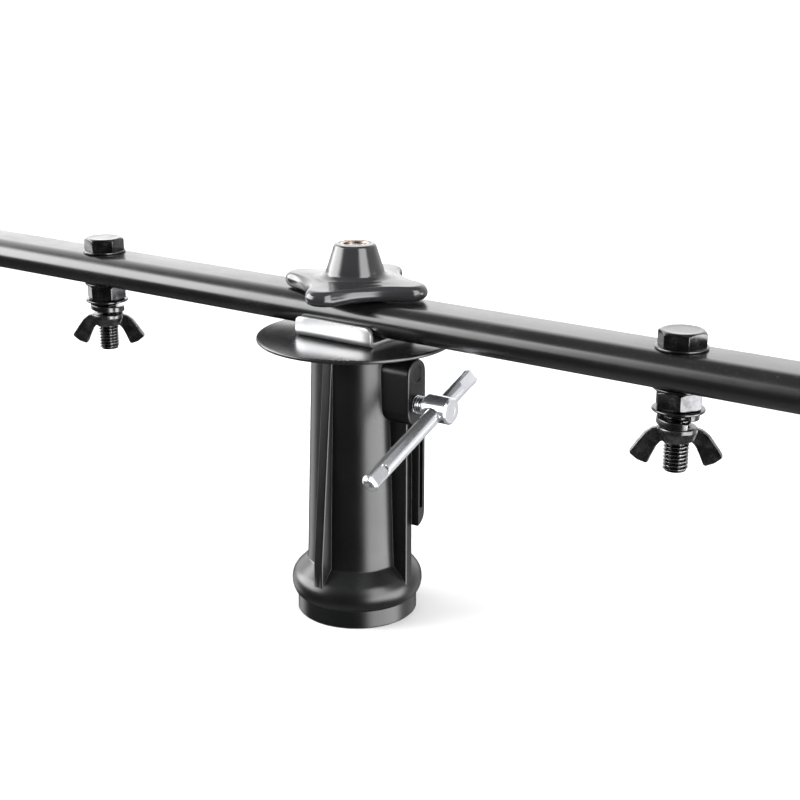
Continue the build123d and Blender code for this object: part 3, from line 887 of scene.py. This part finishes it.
def staked_end(z, segments=72):
    """End face with a shallow pressed cross."""
    angles = np.arange(segments) * TAU / segments
    away = np.abs(np.sin(2 * (angles - STAKE_TURN))) ** 0.6  # 0 along the cross
    rings = []
    for r in STAKE_RADII:
        depth = 0.0
        if r < STAKE_LIMIT:
            depth = (STAKE_DEPTH * np.exp(-((r * away) / STAKE_WIDTH) ** 2)
                     + 0.05 * math.cos(r * 2))
        rings.append((r, z - 0.02 - depth))
    verts, faces = polar_rings(rings, np.stack([np.cos(angles), np.sin(angles)], 1))
    last, centre = (len(rings) - 1) * segments, len(rings) * segments
    faces += [(last + k, last + (k + 1) % segments, centre) for k in range(segments)]
    return np.concatenate([verts, np.array([[0, 0, z - STAKE_DEPTH]])]), faces


def build_centre_bolt():
    """Head at the bottom, thread up to the staked end."""
    lo, hi = box("centre_bolt")
    seat = lo[2] + 6.4
    ob = make("centre_bolt_thread", joined(
        hexagon(lo[2], seat, chamfer_top=False, chamfer_bottom=True),
        thread(M10_RADIUS, M10_PITCH, seat - 0.3, hi[2], chamfer1=0.7, cap1=False),
        staked_end(hi[2])), angle=50)
    fit(ob, "socket", STEEL, "centre_bolt")


# ---------------------------------------------------------------- cradle bracket
SHEET = 2.2
BEND_OUTER, BEND_INNER = 3.2, 1.1
FLANGE_CORNER = 3.0  # radius of the flanges' upper corners, seen from the side
FLANGE_ANGLES = (90, 82, 74, 66, 56, 46, 36, 26, 16, 8, 0)
BRACKET_STEPS = 8  # divisions along X


def build_bracket():
    """U-shaped sheet: a floor with a flange up each long side."""
    lo, hi = box("cradle_bracket")
    half_length, half_width, z0, z1 = hi[0], hi[1], lo[2], hi[2]
    corner_z = z1 - FLANGE_CORNER

    def bend(centre_y, centre_z, radius):
        angles = [math.radians(-90 * k / 10) for k in range(11)]
        return [(centre_y + radius * math.cos(a), centre_z + radius * math.sin(a))
                for a in angles]

    def end_x(z):
        if z <= corner_z:
            return half_length
        drop = math.sqrt(max(FLANGE_CORNER * FLANGE_CORNER - (z - corner_z) ** 2, 0))
        return half_length - (FLANGE_CORNER - drop)

    heights = [corner_z + FLANGE_CORNER * math.sin(math.radians(a)) for a in FLANGE_ANGLES]
    outer = [(half_width, z) for z in heights]
    outer += bend(half_width - BEND_OUTER, z0 + BEND_OUTER, BEND_OUTER)
    inner = [(half_width - SHEET, z) for z in heights]
    inner += bend(half_width - SHEET - BEND_INNER, z0 + SHEET + BEND_INNER, BEND_INNER)
    # Pairs of (y, z), outer and inner, from the +Y flange's top to the middle, then mirrored
    half = list(zip(outer, inner)) + [((y, z0), (y, z0 + SHEET)) for y in (10.0, 5.0, 0.0)]
    stations = half + [((-a[0], a[1]), (-b[0], b[1])) for a, b in reversed(half[:-1])]

    verts, faces = [], []
    for pair in stations:
        for y, z in pair:
            end = end_x(z)
            verts += [(-end + 2 * end * k / BRACKET_STEPS, y, z)
                      for k in range(BRACKET_STEPS + 1)]
    row = BRACKET_STEPS + 1
    for i in range(len(stations) - 1):
        o0, i0, o1, i1 = ((2 * i + n) * row for n in range(4))
        for k in range(BRACKET_STEPS):
            faces.append((o0 + k, o0 + k + 1, o1 + k + 1, o1 + k))
            faces.append((i0 + k, i1 + k, i1 + k + 1, i0 + k + 1))
        for k in (0, BRACKET_STEPS):
            faces.append((o0 + k, o1 + k, i1 + k, i0 + k))
    for i in (0, len(stations) - 1):
        o0, i0 = (2 * i) * row, (2 * i + 1) * row
        for k in range(BRACKET_STEPS):
            faces.append((o0 + k, i0 + k, i0 + k + 1, o0 + k + 1))
    ob = make("cradle_bracket_sheet", (verts, faces), angle=30)
    cut(ob, cylinder(BAR_BOLT_HOLE, z0 - 5, z0 + 8, 64))
    bevel(ob, width=0.22, segments=2, angle=40)
    shade(ob, 35)
    fit(ob, "crossbar", ZINC_SHEET, "cradle_bracket")


# ---------------------------------------------------------------- crossbar and end caps
LAMP_HOLE = 5.25


def build_crossbar():
    outer = oval(BAR_WIDTH, BAR_HEIGHT)
    inner = oval(BAR_WIDTH - 2 * BAR_WALL, BAR_HEIGHT - 2 * BAR_WALL)
    x0, x1 = BAR_LO[0], BAR_HI[0]
    xs = [x0, x0 + 0.15, *np.linspace(x0 + 10, x1 - 10, 49), x1 - 0.15, x1]
    verts = [(x, y, z + BAR_Z) for loop in (outer, inner) for x in xs for y, z in loop]
    faces, n = [], len(outer)
    base = len(xs) * n  # first vertex of the inner skin
    for i in range(len(xs) - 1):
        a, b = i * n, (i + 1) * n
        for k in range(n):
            m = (k + 1) % n
            faces.append((a + k, b + k, b + m, a + m))
            faces.append((base + a + k, base + a + m, base + b + m, base + b + k))
    for a in (0, (len(xs) - 1) * n):
        for k in range(n):
            m = (k + 1) % n
            faces.append((a + k, a + m, base + a + m, base + a + k))
    ob = make("crossbar_tube", (verts, faces), angle=40)
    holes = [(x, LAMP_HOLE) for x in LAMP_X] + [(0.0, BAR_BOLT_HOLE)]
    cut(ob, joined(*[moved(cylinder(r, BAR_Z - 20, BAR_Z + 20, 48), x) for x, r in holes]))
    shade(ob, 40)
    fit(ob, "crossbar", BAR_BLACK, "bar_tube")


# Plug inside the bar: (distance from its inner end, inset from the bar's outline)
CAP_PLUG = [(0.0, 3.4), (0.0, 1.9), (0.8, 1.56), (14.0, 1.56)]
# Dished outer face: (depth below the face, inset)
CAP_DISH = [(0.12, 2.9), (0.35, 3.2), (0.40, 5.0), (0.40, 7.2)]
CAP_EDGE = 1.6


def build_end_cap(side, source):
    """Plug and rounded flange. side is -1 for the -X end and +1 for the +X end."""
    lo, hi = box(source)
    x_in, x_out, x_bar = ((hi[0], lo[0], BAR_LO[0]) if side < 0
                          else (lo[0], hi[0], BAR_HI[0]))
    height = abs(x_out - x_bar)
    stations = [(x_in + side * distance, inset) for distance, inset in CAP_PLUG]
    stations += [(x_bar, 0.15), (x_bar + side * 0.15, 0.0)]
    for degrees in range(0, 91, 15):
        a = math.radians(degrees)
        stations.append((x_bar + side * (height - CAP_EDGE + CAP_EDGE * math.sin(a)),
                         CAP_EDGE - CAP_EDGE * math.cos(a)))
    stations.append((x_bar + side * height, 2.6))
    stations += [(x_bar + side * (height - depth), inset) for depth, inset in CAP_DISH]
    loops = []
    for x, inset in stations:
        loop = oval(BAR_WIDTH - 2 * inset, max(BAR_HEIGHT - 2 * inset, 0.2), 16)
        loops.append([(x, y, z + BAR_Z) for y, z in loop])
    ob = make(source + "_plug", loft(loops), angle=40)
    fit(ob, "crossbar", CAP_PLASTIC, source)


# ---------------------------------------------------------------- lamp bolts
HEAD_TO_THREAD = 6.0  # plain shank between the head's seat and the thread
NUT_BORE = 5.06


def build_bolt_washer(name, x, source):
    lo, hi = box(source)
    ring = washer(LAMP_HOLE, (hi[1] - lo[1]) / 2, lo[2], hi[2])
    fit(make(name, moved(ring, x)), "crossbar", HARDWARE, source)


def build_lamp_bolt(i, x):
    """Bolt standing head up, its two washers and its lock nut."""
    number = i + 1
    lo, hi = box("lamp_bolts")
    seat = box("head_washers")[1][2]
    bolt = joined(
        turned(hexagon(seat, hi[2], dish=0.12), HEAD_TURN[i]),
        thread(M10_RADIUS, M10_PITCH, lo[2], seat - HEAD_TO_THREAD, chamfer0=0.9),
        cylinder(4.95, seat - 6.3, seat + 0.3, 48))
    ob = make("lamp_bolt_%d" % number, moved(bolt, x), angle=34)
    fit(ob, "crossbar", BOLT_BLACK, "lamp_bolts")
    build_bolt_washer("head_washer_%d" % number, x, "head_washers")
    build_bolt_washer("under_washer_%d" % number, x, "under_washers")
    lo, hi = box("lock_nuts")
    nut = turned(hexagon(lo[2], hi[2], chamfer_bottom=True, bore=NUT_BORE), NUT_TURN[i])
    ob = make("lock_nut_%d" % number, moved(nut, x), angle=34)
    fit(ob, "crossbar", HARDWARE, "lock_nuts")


# ---------------------------------------------------------------- wing nuts and loose washers
# Outline of one wing: (reach from the axis, height from the nut's top, corner radius)
WING = [
    (4.5, -0.9, 0.0), (7.2, -0.45, 0.0), (9.9, -1.2, 1.5), (12.5, -3.2, 2.0),
    (15.1, -6.7, 3.0), (18.0, -11.0, 0.5), (17.85, -12.0, 0.6), (14.9, -14.4, 0.8),
    (11.5, -15.6, 0.5), (10.6, -15.1, 0.8), (9.1, -11.4, 2.0), (7.6, -8.2, 2.0),
    (6.2, -6.4, 1.0), (4.5, -5.7, 0.0),
]
WING_HALF_ROOT, WING_THINNING = 1.75, 0.35  # half thickness, and its loss towards the tip
HUB_HEIGHT = 6.0
SPRING_WIRE = 2.85
SPRING_SWEEP = math.radians(349)


def spring_coil(r_in, r_out, z0, z1, start, steps=110):
    """Left-hand split washer: a square wire that climbs from z0 to z1. start in degrees."""
    half = SPRING_WIRE / 2
    section = fillet([(r_in, -half, 0.22), (r_out, -half, 0.45),
                      (r_out, half, 0.45), (r_in, half, 0.22)], 4, closed=True)
    loops = []
    for i in range(steps + 1):
        q = i / steps
        a = math.radians(start) - SPRING_SWEEP * q
        centre = z0 + half + (z1 - z0 - SPRING_WIRE) * q
        loops.append([(r * math.cos(a), r * math.sin(a), centre + z) for r, z in section])
    return loft(loops)


def wing(side, z_top):
    """Flat wing, thinner at the tip. side is +1 or -1 along X."""
    outline = fillet(WING, 4, closed=True)
    count = len(outline)
    verts = []
    for face in (-1, 1):
        for reach, height in outline:
            tip = min(max((reach - 6.0) / 11.0, 0.0), 1.0)
            half = WING_HALF_ROOT - WING_THINNING * tip
            verts.append((side * reach, face * half, z_top + height))
    ends = [tuple(range(count)), tuple(range(count, 2 * count))]
    return np.array(verts), ends + ring_quads(2, count)


def cast_wing_nut(name, x, z_top, turn):
    """Hub and two wings fused by a fine remesh, then eased."""
    z_hub = z_top - HUB_HEIGHT
    hub = [(5.08, z_hub, 0.1), (5.9, z_hub, 0.45), (6.4, z_hub + 0.9, 0.6),
           (7.6, z_top - 1.8, 0.6), (7.6, z_top, 0.45), (5.08, z_top, 0.1)]
    meshes = [lathe(fillet(hub, 5, closed=True)), wing(1, z_top), wing(-1, z_top)]
    parts = [make(name + "_p%d" % k, mesh) for k, mesh in enumerate(meshes)]
    for part in parts[1:]:
        bevel(part, width=0.42, segments=3, angle=50)
    ob = merge(name, parts)
    remesh = ob.modifiers.new("remesh", "REMESH")
    remesh.mode, remesh.voxel_size = "VOXEL", 0.24 * MM
    ease = ob.modifiers.new("ease", "SMOOTH")
    ease.factor, ease.iterations = 0.5, 4
    apply_modifiers(ob)
    ob.data.transform(Matrix.Rotation(math.radians(turn), 4, "Z"))
    ob.data.transform(Matrix.Translation((x * MM, 0, 0)))
    shade(ob, 60)
    return ob


def build_wing_stack(i, x):
    """Flat washer, split washer and wing nut of one lamp bolt."""
    flat, spring, nut = ("%s_%d" % (kind, i + 1)
                         for kind in ("flat_washer", "spring_washer", "wing_nut"))
    stack = "washer_stack_%d" % (i + 1)
    flat_lo, flat_hi = box(flat)
    spring_lo, spring_hi = box(spring)
    nut_top = box(nut)[1][2]
    ring = washer(5.1, (flat_hi[0] - flat_lo[0]) / 2, flat_lo[2], flat_hi[2])
    fit(make(flat + "_ring", moved(ring, x)), stack, HARDWARE, flat)
    coil = spring_coil(5.3, (spring_hi[0] - spring_lo[0]) / 2,
                       nut_top + 0.03, flat_lo[2] - 0.03, SPRING_TURN[i])
    ob = make(spring + "_coil", moved(coil, x), angle=45)
    fit(ob, stack, HARDWARE, spring)
    ob = cast_wing_nut(nut + "_cast", x, nut_top, WING_TURN[i])
    fit(ob, nut, CAST, nut)


# ---------------------------------------------------------------- star knob
KNOB_RADIUS = 35.0  # to the tip of a lobe
KNOB_VALLEY = 22.8  # to the bottom of a hollow
LOBE_RADIUS = 7.2
KNOB_EDGE = 3.35
KNOB_TURN = 6.8
KNOB_BORE = 6.66
CONE_FOOT, CONE_LOW, CONE_HIGH = 17.2, 12.7, 9.45  # radii of the fillet's foot and the cone
CONE_FILLET = 3.0  # height of the fillet below the cone
CROWN = 0.55  # rise of the top skin towards the cone
RIM = 1.5  # height of the rounded rim


def star_radii(count):
    """Radii of the four-lobed outline: round lobes joined by tangent concave arcs."""
    lobe_at = KNOB_RADIUS - LOBE_RADIUS
    root2 = math.sqrt(2)
    hollow = ((LOBE_RADIUS ** 2 - lobe_at ** 2 - KNOB_VALLEY ** 2
               + root2 * lobe_at * KNOB_VALLEY)
              / (2 * KNOB_VALLEY - root2 * lobe_at - 2 * LOBE_RADIUS))
    hollow_at = KNOB_VALLEY + hollow
    side = hollow_at / root2  # x and y of the hollow's centre
    share = LOBE_RADIUS + hollow
    tangent = math.atan2(side * LOBE_RADIUS / share,
                         lobe_at + (side - lobe_at) * LOBE_RADIUS / share)
    out = []
    for k in range(count):
        b = (TAU * k / count + math.pi / 4) % (math.pi / 2) - math.pi / 4  # from the lobe
        if abs(b) < tangent:
            root = math.sqrt(LOBE_RADIUS ** 2 - (lobe_at * math.sin(b)) ** 2)
            out.append(lobe_at * math.cos(b) + root)
        else:
            c = abs(b) - math.pi / 4
            root = math.sqrt(hollow ** 2 - (hollow_at * math.sin(c)) ** 2)
            out.append(hollow_at * math.cos(c) - root)
    return np.array(out)


def knob_mesh(z0, z1, count=240):
    """Four-lobed plate with a cone on top, as rings from the bore's foot out and back."""
    star = star_radii(count)
    seat = z0 + 1.0
    rings = [(KNOB_BORE, seat + 0.02), (13.28, seat + 0.02), (13.32, z0 + 0.2), (13.6, z0),
             (np.minimum(star - 6.0, star * 0.86), z0)]
    for degrees in range(-80, 91, 10):
        c, s = math.cos(math.radians(degrees)), math.sin(math.radians(degrees))
        rings.append((star - KNOB_EDGE + KNOB_EDGE * c, z0 + 0.02 + KNOB_EDGE + KNOB_EDGE * s))
    skin = z0 + 0.02 + 2 * KNOB_EDGE
    for q in (0.12, 0.25, 0.4, 0.55, 0.7, 0.85, 0.95):
        rings.append(((star - KNOB_EDGE) * (1 - q) + CONE_FOOT * q, skin + CROWN * q ** 2.0))
    foot = skin + CROWN
    for q in np.linspace(0, 1, 9):
        a = q * math.pi / 2
        rings.append((CONE_FOOT - (CONE_FOOT - CONE_LOW) * math.sin(a),
                      foot + CONE_FILLET * (1 - math.cos(a))))
    cone = foot + CONE_FILLET
    for q in (0.25, 0.5, 0.75, 1.0):
        rings.append((CONE_LOW + (CONE_HIGH - CONE_LOW) * q, cone + (z1 - RIM - cone) * q))
    for degrees in range(15, 91, 15):
        c, s = math.cos(math.radians(degrees)), math.sin(math.radians(degrees))
        rings.append((CONE_HIGH - RIM * (1 - c) * 0.8 - 0.15 * (degrees / 90),
                      z1 - RIM + RIM * s))
    rings += [(7.0, z1), (6.75, z1 - 0.12), (6.68, z1 - 0.5), (KNOB_BORE, seat + 1.0)]
    directions = [(math.cos(a), math.sin(a)) for a in np.arange(count) * TAU / count]
    return turned(polar_rings(rings, directions, closed=True), KNOB_TURN)


def build_knob():
    lo, hi = box("knob_body")
    ob = make("star_knob_body", knob_mesh(lo[2], hi[2]), angle=60)
    fit(ob, "star_knob", KNOB_PLASTIC, "knob_body")

    lo, hi = box("knob_insert")
    z0, z1 = lo[2], hi[2]
    bush = [(5.06, z0, 0.1), (6.64, z0, 0.1), (6.64, z1 + 0.02, 0.22),
            (5.35, z1 + 0.02, 0.12), (5.06, z1 - 0.35, 0.1)]
    ob = make("knob_insert_bush", lathe(fillet(bush, 4, closed=True)))
    fit(ob, "star_knob", BRASS, "knob_insert")

    lo, hi = box("knob_washer")
    ob = make("knob_washer_ring", washer(5.1, hi[0], lo[2], hi[2] - 0.02, segments=128))
    fit(ob, "knob_slide", ZINC, "knob_washer")


# ---------------------------------------------------------------- clamp screw and tommy bar
BARREL_START = 38.7  # x where the barrel's shoulder begins
TOMMY_HOLE = 3.72
TOMMY_RADIUS = 3.65
TOMMY_DOWN, TOMMY_UP = 55.7, 27.2  # length each side of the barrel, down-tilted and up
FLAT_HALF = 2.9  # half thickness across the pressed flats
FLAT_LENGTH, FLAT_RUNOUT = 10.9, 0.6
FLAT_TURN = math.radians(34.0)  # flats' turn about the bar
NOSE_RADIUS = 2.7
# Distances from an end at which the bar has a ring of vertices
TOMMY_STEPS = [0.0, 0.03, 0.12, 0.28, 0.5, 0.8, 1.15, 1.6, 2.1, 2.7, 3.4, 4.3, 5.2, 6.5, 8.0,
               9.6, 10.85, 11.0, 11.15, 11.3, 11.48, 12.2, 13.0]


def along_tommy(mesh):
    """Puts mesh data built along +Z on the tommy bar's line. Its X stays world X."""
    verts = np.array(mesh[0], float)
    c, s = math.cos(TOMMY_TILT), math.sin(TOMMY_TILT)
    placed = (np.outer(verts[:, 0], [1, 0, 0]) + np.outer(verts[:, 1], np.array([0, -s, c]))
              + np.outer(verts[:, 2], np.array([0, c, s])) + np.array([TOMMY_X, 0, SCREW_Z]))
    return placed, mesh[1]


def build_clamp_screw():
    """Threaded shank towards the socket, cross-drilled barrel at the +X end."""
    x0, x1, radius = BARREL_START, SCREW_HI[0], (SCREW_HI[2] - SCREW_LO[2]) / 2
    # (radius, x, corner radius)
    profile = [(0, x0 - 0.6, 0), (4.3, x0 - 0.6, 0.1), (4.5, x0 - 0.5, 0.1),
               (5.45, x0 + 0.6, 0.3), (radius, x0 + 1.3, 0.3), (radius, x1 - 0.75, 0.12),
               (radius - 0.8, x1, 0.12), (2.6, x1, 0.1), (2.2, x1 - 0.05, 0.1),
               (0, x1 - 0.08, 0)]
    barrel = make("barrel", along_x(lathe(fillet(profile, 4), closed=False)))
    barrel.data.transform(Matrix.Translation((0, 0, SCREW_Z * MM)))
    cut(barrel, along_tommy(cylinder(TOMMY_HOLE, -20, 20, 72)))
    bevel(barrel, width=0.15, segments=2, angle=50)
    tip = [(0, 19.75), (2.6, 19.75), (2.95, 20.1), (2.95, 22.0), (0, 22.0)]
    shank = joined(thread(4.0, 1.25, 21.4, x0 - 0.45, segments=48, chamfer0=0.6),
                   lathe(tip, 48, closed=False))
    shank = make("shank", moved(along_x(shank), z=SCREW_Z), angle=50)
    ob = merge("clamp_screw_turned", [barrel, shank])
    shade(ob, 36)
    fit(ob, "clamp_screw", SCREW_ZINC, "clamp_screw")


def tommy_section(distance):
    """Half thickness, half width and nose shrink at a distance from the bar's end."""
    half = FLAT_HALF
    if distance >= FLAT_LENGTH:
        half += (TOMMY_RADIUS - FLAT_HALF) * min((distance - FLAT_LENGTH) / FLAT_RUNOUT, 1.0)
    q = min(max(0.0, 1 - distance / 5.2), 0.8) / 0.8
    width = TOMMY_RADIUS + 0.3 * (3 * q * q - 2 * q ** 3)
    inside = NOSE_RADIUS - min(distance, NOSE_RADIUS)
    shrink = NOSE_RADIUS - math.sqrt(max(NOSE_RADIUS * NOSE_RADIUS - inside ** 2, 0.0))
    return half, width, shrink


def build_tommy_bar(segments=96):
    """Round rod, spread and pressed flat at both ends."""
    c, s = math.cos(FLAT_TURN), math.sin(FLAT_TURN)
    # (place along the bar, distance from the nearer end); 50 stands for plain rod
    stations = [(-TOMMY_DOWN + d, d) for d in TOMMY_STEPS] + [(-20.0, 50.0), (-5.0, 50.0)]
    stations += [(TOMMY_UP - d, d) for d in reversed(TOMMY_STEPS)]
    loops = []
    for place, distance in stations:
        half, width, shrink = tommy_section(distance)
        loop = []
        for k in range(segments):
            a = TAU * k / segments
            x = max(-half, min(half, TOMMY_RADIUS * math.cos(a)))
            y = width * math.sin(a)
            h = math.hypot(x, y)
            x, y = x * (h - shrink) / h, y * (h - shrink) / h
            loop.append((x * c - y * s, x * s + y * c, place))
        loops.append(loop)
    ob = make("tommy_bar_rod", along_tommy(loft(loops)), angle=28)
    fit(ob, "tommy_bar", ZINC, "tommy_bar")


# ---------------------------------------------------------------- floor, lights, camera
FLOOR_HALF = 40.0  # metres


def build_floor():
    """Pale floor at the lowest point of the CAD, unseen in reflections."""
    h, z = FLOOR_HALF, cad_lo[2]
    data = bpy.data.meshes.new("floor")
    data.from_pydata([(-h, -h, z), (h, -h, z), (h, h, z), (-h, h, z)], [], [(0, 1, 2, 3)])
    floor = bpy.data.objects.new("floor", data)
    scene.collection.objects.link(floor)
    mat = bpy.data.materials.new("floor_pale")
    mat.use_nodes = True
    inputs = mat.node_tree.nodes["Principled BSDF"].inputs
    inputs["Base Color"].default_value = (0.93, 0.93, 0.93, 1)
    inputs["Roughness"].default_value = 0.9
    inputs["Specular IOR Level"].default_value = 0.0
    floor.data.materials.append(mat)
    floor.visible_glossy = False


def studio_reflections(tree):
    """Brightness by direction, seen in reflections: a soft gradient with bright panels.

    Azimuths are degrees from +X towards +Y, elevations degrees above the horizon.
    """
    coords = tree.nodes.new("ShaderNodeTexCoord")
    split = tree.nodes.new("ShaderNodeSeparateXYZ")
    tree.links.new(coords.outputs["Generated"], split.inputs[0])
    dx, dy, dz = (Value(tree, split.outputs[i]) for i in range(3))
    elevation = dz.op("ARCSINE") * (180 / math.pi)

    def azimuth_from(centre):
        """Degrees from the centre azimuth, -180 to 180."""
        c, s = math.cos(math.radians(centre)), math.sin(math.radians(centre))
        ahead = dx * c + dy * s
        across = dy * c - dx * s
        return across.op("ARCTAN2", ahead) * (180 / math.pi)

    def panel(azimuth, turn, height):
        """Soft rectangle. turn and height are (from, to, softness) in degrees."""
        return window(azimuth, *turn) * window(elevation, *height)

    left = azimuth_from(-147.0)
    right = azimuth_from(-11.0)
    side = azimuth_from(20.0)
    back = azimuth_from(100.0)
    light = elevation.smooth(-5, 40, 0.05, 0.42) + elevation.smooth(-60, -35, 0.35, 0.0)
    light = light + (panel(back, turn=(-88, 84, 12), height=(-3, 46, 9))
                     * back.smooth(-65, 48, 0.9, 2.9))
    light = light + panel(back, turn=(-75, -5, 12), height=(-42, -3, 6)) * 1.0
    light = light + panel(left, turn=(-34, 25, 11), height=(-2, 35, 4)) * 14.5
    light = light + panel(right, turn=(-21, 18, 7), height=(-30, 44, 7)) * 11.0
    light = light + panel(right, turn=(-20, 44, 5), height=(-30, -6, 6)) * 2.2
    light = light + panel(side, turn=(-14, 15, 6), height=(-33, 5, 6)) * 10.0
    return light + panel(azimuth_from(180.0), turn=(-24, 6, 6), height=(-30, -8, 5)) * 2.0


def build_world():
    """White to the camera, even for diffuse light, panels in reflections."""
    world = bpy.data.worlds.new("studio")
    scene.world = world
    world.use_nodes = True
    tree = world.node_tree
    tree.nodes.clear()
    reflections = studio_reflections(tree)
    path = tree.nodes.new("ShaderNodeLightPath")
    seen, mirrored, diffuse = (tree.nodes.new("ShaderNodeBackground") for _ in range(3))
    seen.inputs["Color"].default_value = (1, 1, 1, 1)
    seen.inputs["Strength"].default_value = 1.0
    feed(tree, mirrored.inputs["Strength"], reflections)
    diffuse.inputs["Strength"].default_value = 0.85
    lighting = tree.nodes.new("ShaderNodeMixShader")
    final = tree.nodes.new("ShaderNodeMixShader")
    for node, ray, first, second in ((lighting, "Is Diffuse Ray", mirrored, diffuse),
                                     (final, "Is Camera Ray", lighting, seen)):
        tree.links.new(path.outputs[ray], node.inputs[0])
        tree.links.new(first.outputs[0], node.inputs[1])
        tree.links.new(second.outputs[0], node.inputs[2])
    output = tree.nodes.new("ShaderNodeOutputWorld")
    tree.links.new(final.outputs[0], output.inputs[0])


def softbox(name, azimuth, elevation, distance, size, power):
    """Round area light aimed at the origin. Angles in degrees, lengths in metres."""
    light = bpy.data.lights.new(name, "AREA")
    light.shape, light.size, light.energy = "DISK", size, power
    ob = bpy.data.objects.new(name, light)
    scene.collection.objects.link(ob)
    a, e = math.radians(azimuth), math.radians(elevation)
    direction = Vector((math.cos(a) * math.cos(e), math.sin(a) * math.cos(e), math.sin(e)))
    place = direction * distance
    ob.location = place
    ob.rotation_mode = "QUATERNION"
    ob.rotation_quaternion = (-place).to_track_quat("-Z", "Y")
    ob.visible_glossy = False


def build_camera():
    """Looks down at the product from +X and -Y. The place is in metres."""
    camera = bpy.data.cameras.new("camera")
    ob = bpy.data.objects.new("camera", camera)
    scene.collection.objects.link(ob)
    camera.sensor_width = 36.0
    camera.lens = 68.02
    right = Vector((0.8128, 0.5825, 0.0019))
    up = Vector((-0.1721, 0.2370, 0.9562))
    backward = Vector((0.5565, -0.7775, 0.2929))
    place = Vector((0.3935, -0.5159, 0.1684 + TOP * MM))
    rotation = Matrix((right, up, backward)).transposed().to_4x4()
    ob.matrix_world = Matrix.Translation(place) @ rotation
    camera.clip_start, camera.clip_end = 0.01, 100.0
    scene.camera = ob
    scene.view_settings.view_transform = "Standard"
    scene.view_settings.look = "None"


# ---------------------------------------------------------------- build
# Two CAD nodes stay as they are and only get a material
for node_name, node_material in (("clamp_insert", INSERT_STEEL), ("clamp_shoe", SHOE_ACETAL)):
    slots = nodes[node_name].data.materials
    slots.clear()
    slots.append(node_material)

build_socket()
build_top_plate()
build_centre_bolt()
build_bracket()
build_crossbar()
build_end_cap(-1, "end_cap_left")
build_end_cap(1, "end_cap_right")
for i, x in enumerate(LAMP_X):
    build_lamp_bolt(i, x)
for i, x in enumerate(LAMP_X):
    build_wing_stack(i, x)
build_knob()
build_clamp_screw()
build_tommy_bar()

build_floor()
build_world()
softbox("softbox_left", azimuth=-147, elevation=40, distance=1.8, size=1.2, power=9.0)
softbox("softbox_right", azimuth=-17, elevation=42, distance=1.8, size=1.0, power=5.0)
softbox("softbox_top", azimuth=60, elevation=80, distance=2.0, size=1.6, power=8.0)
build_camera()
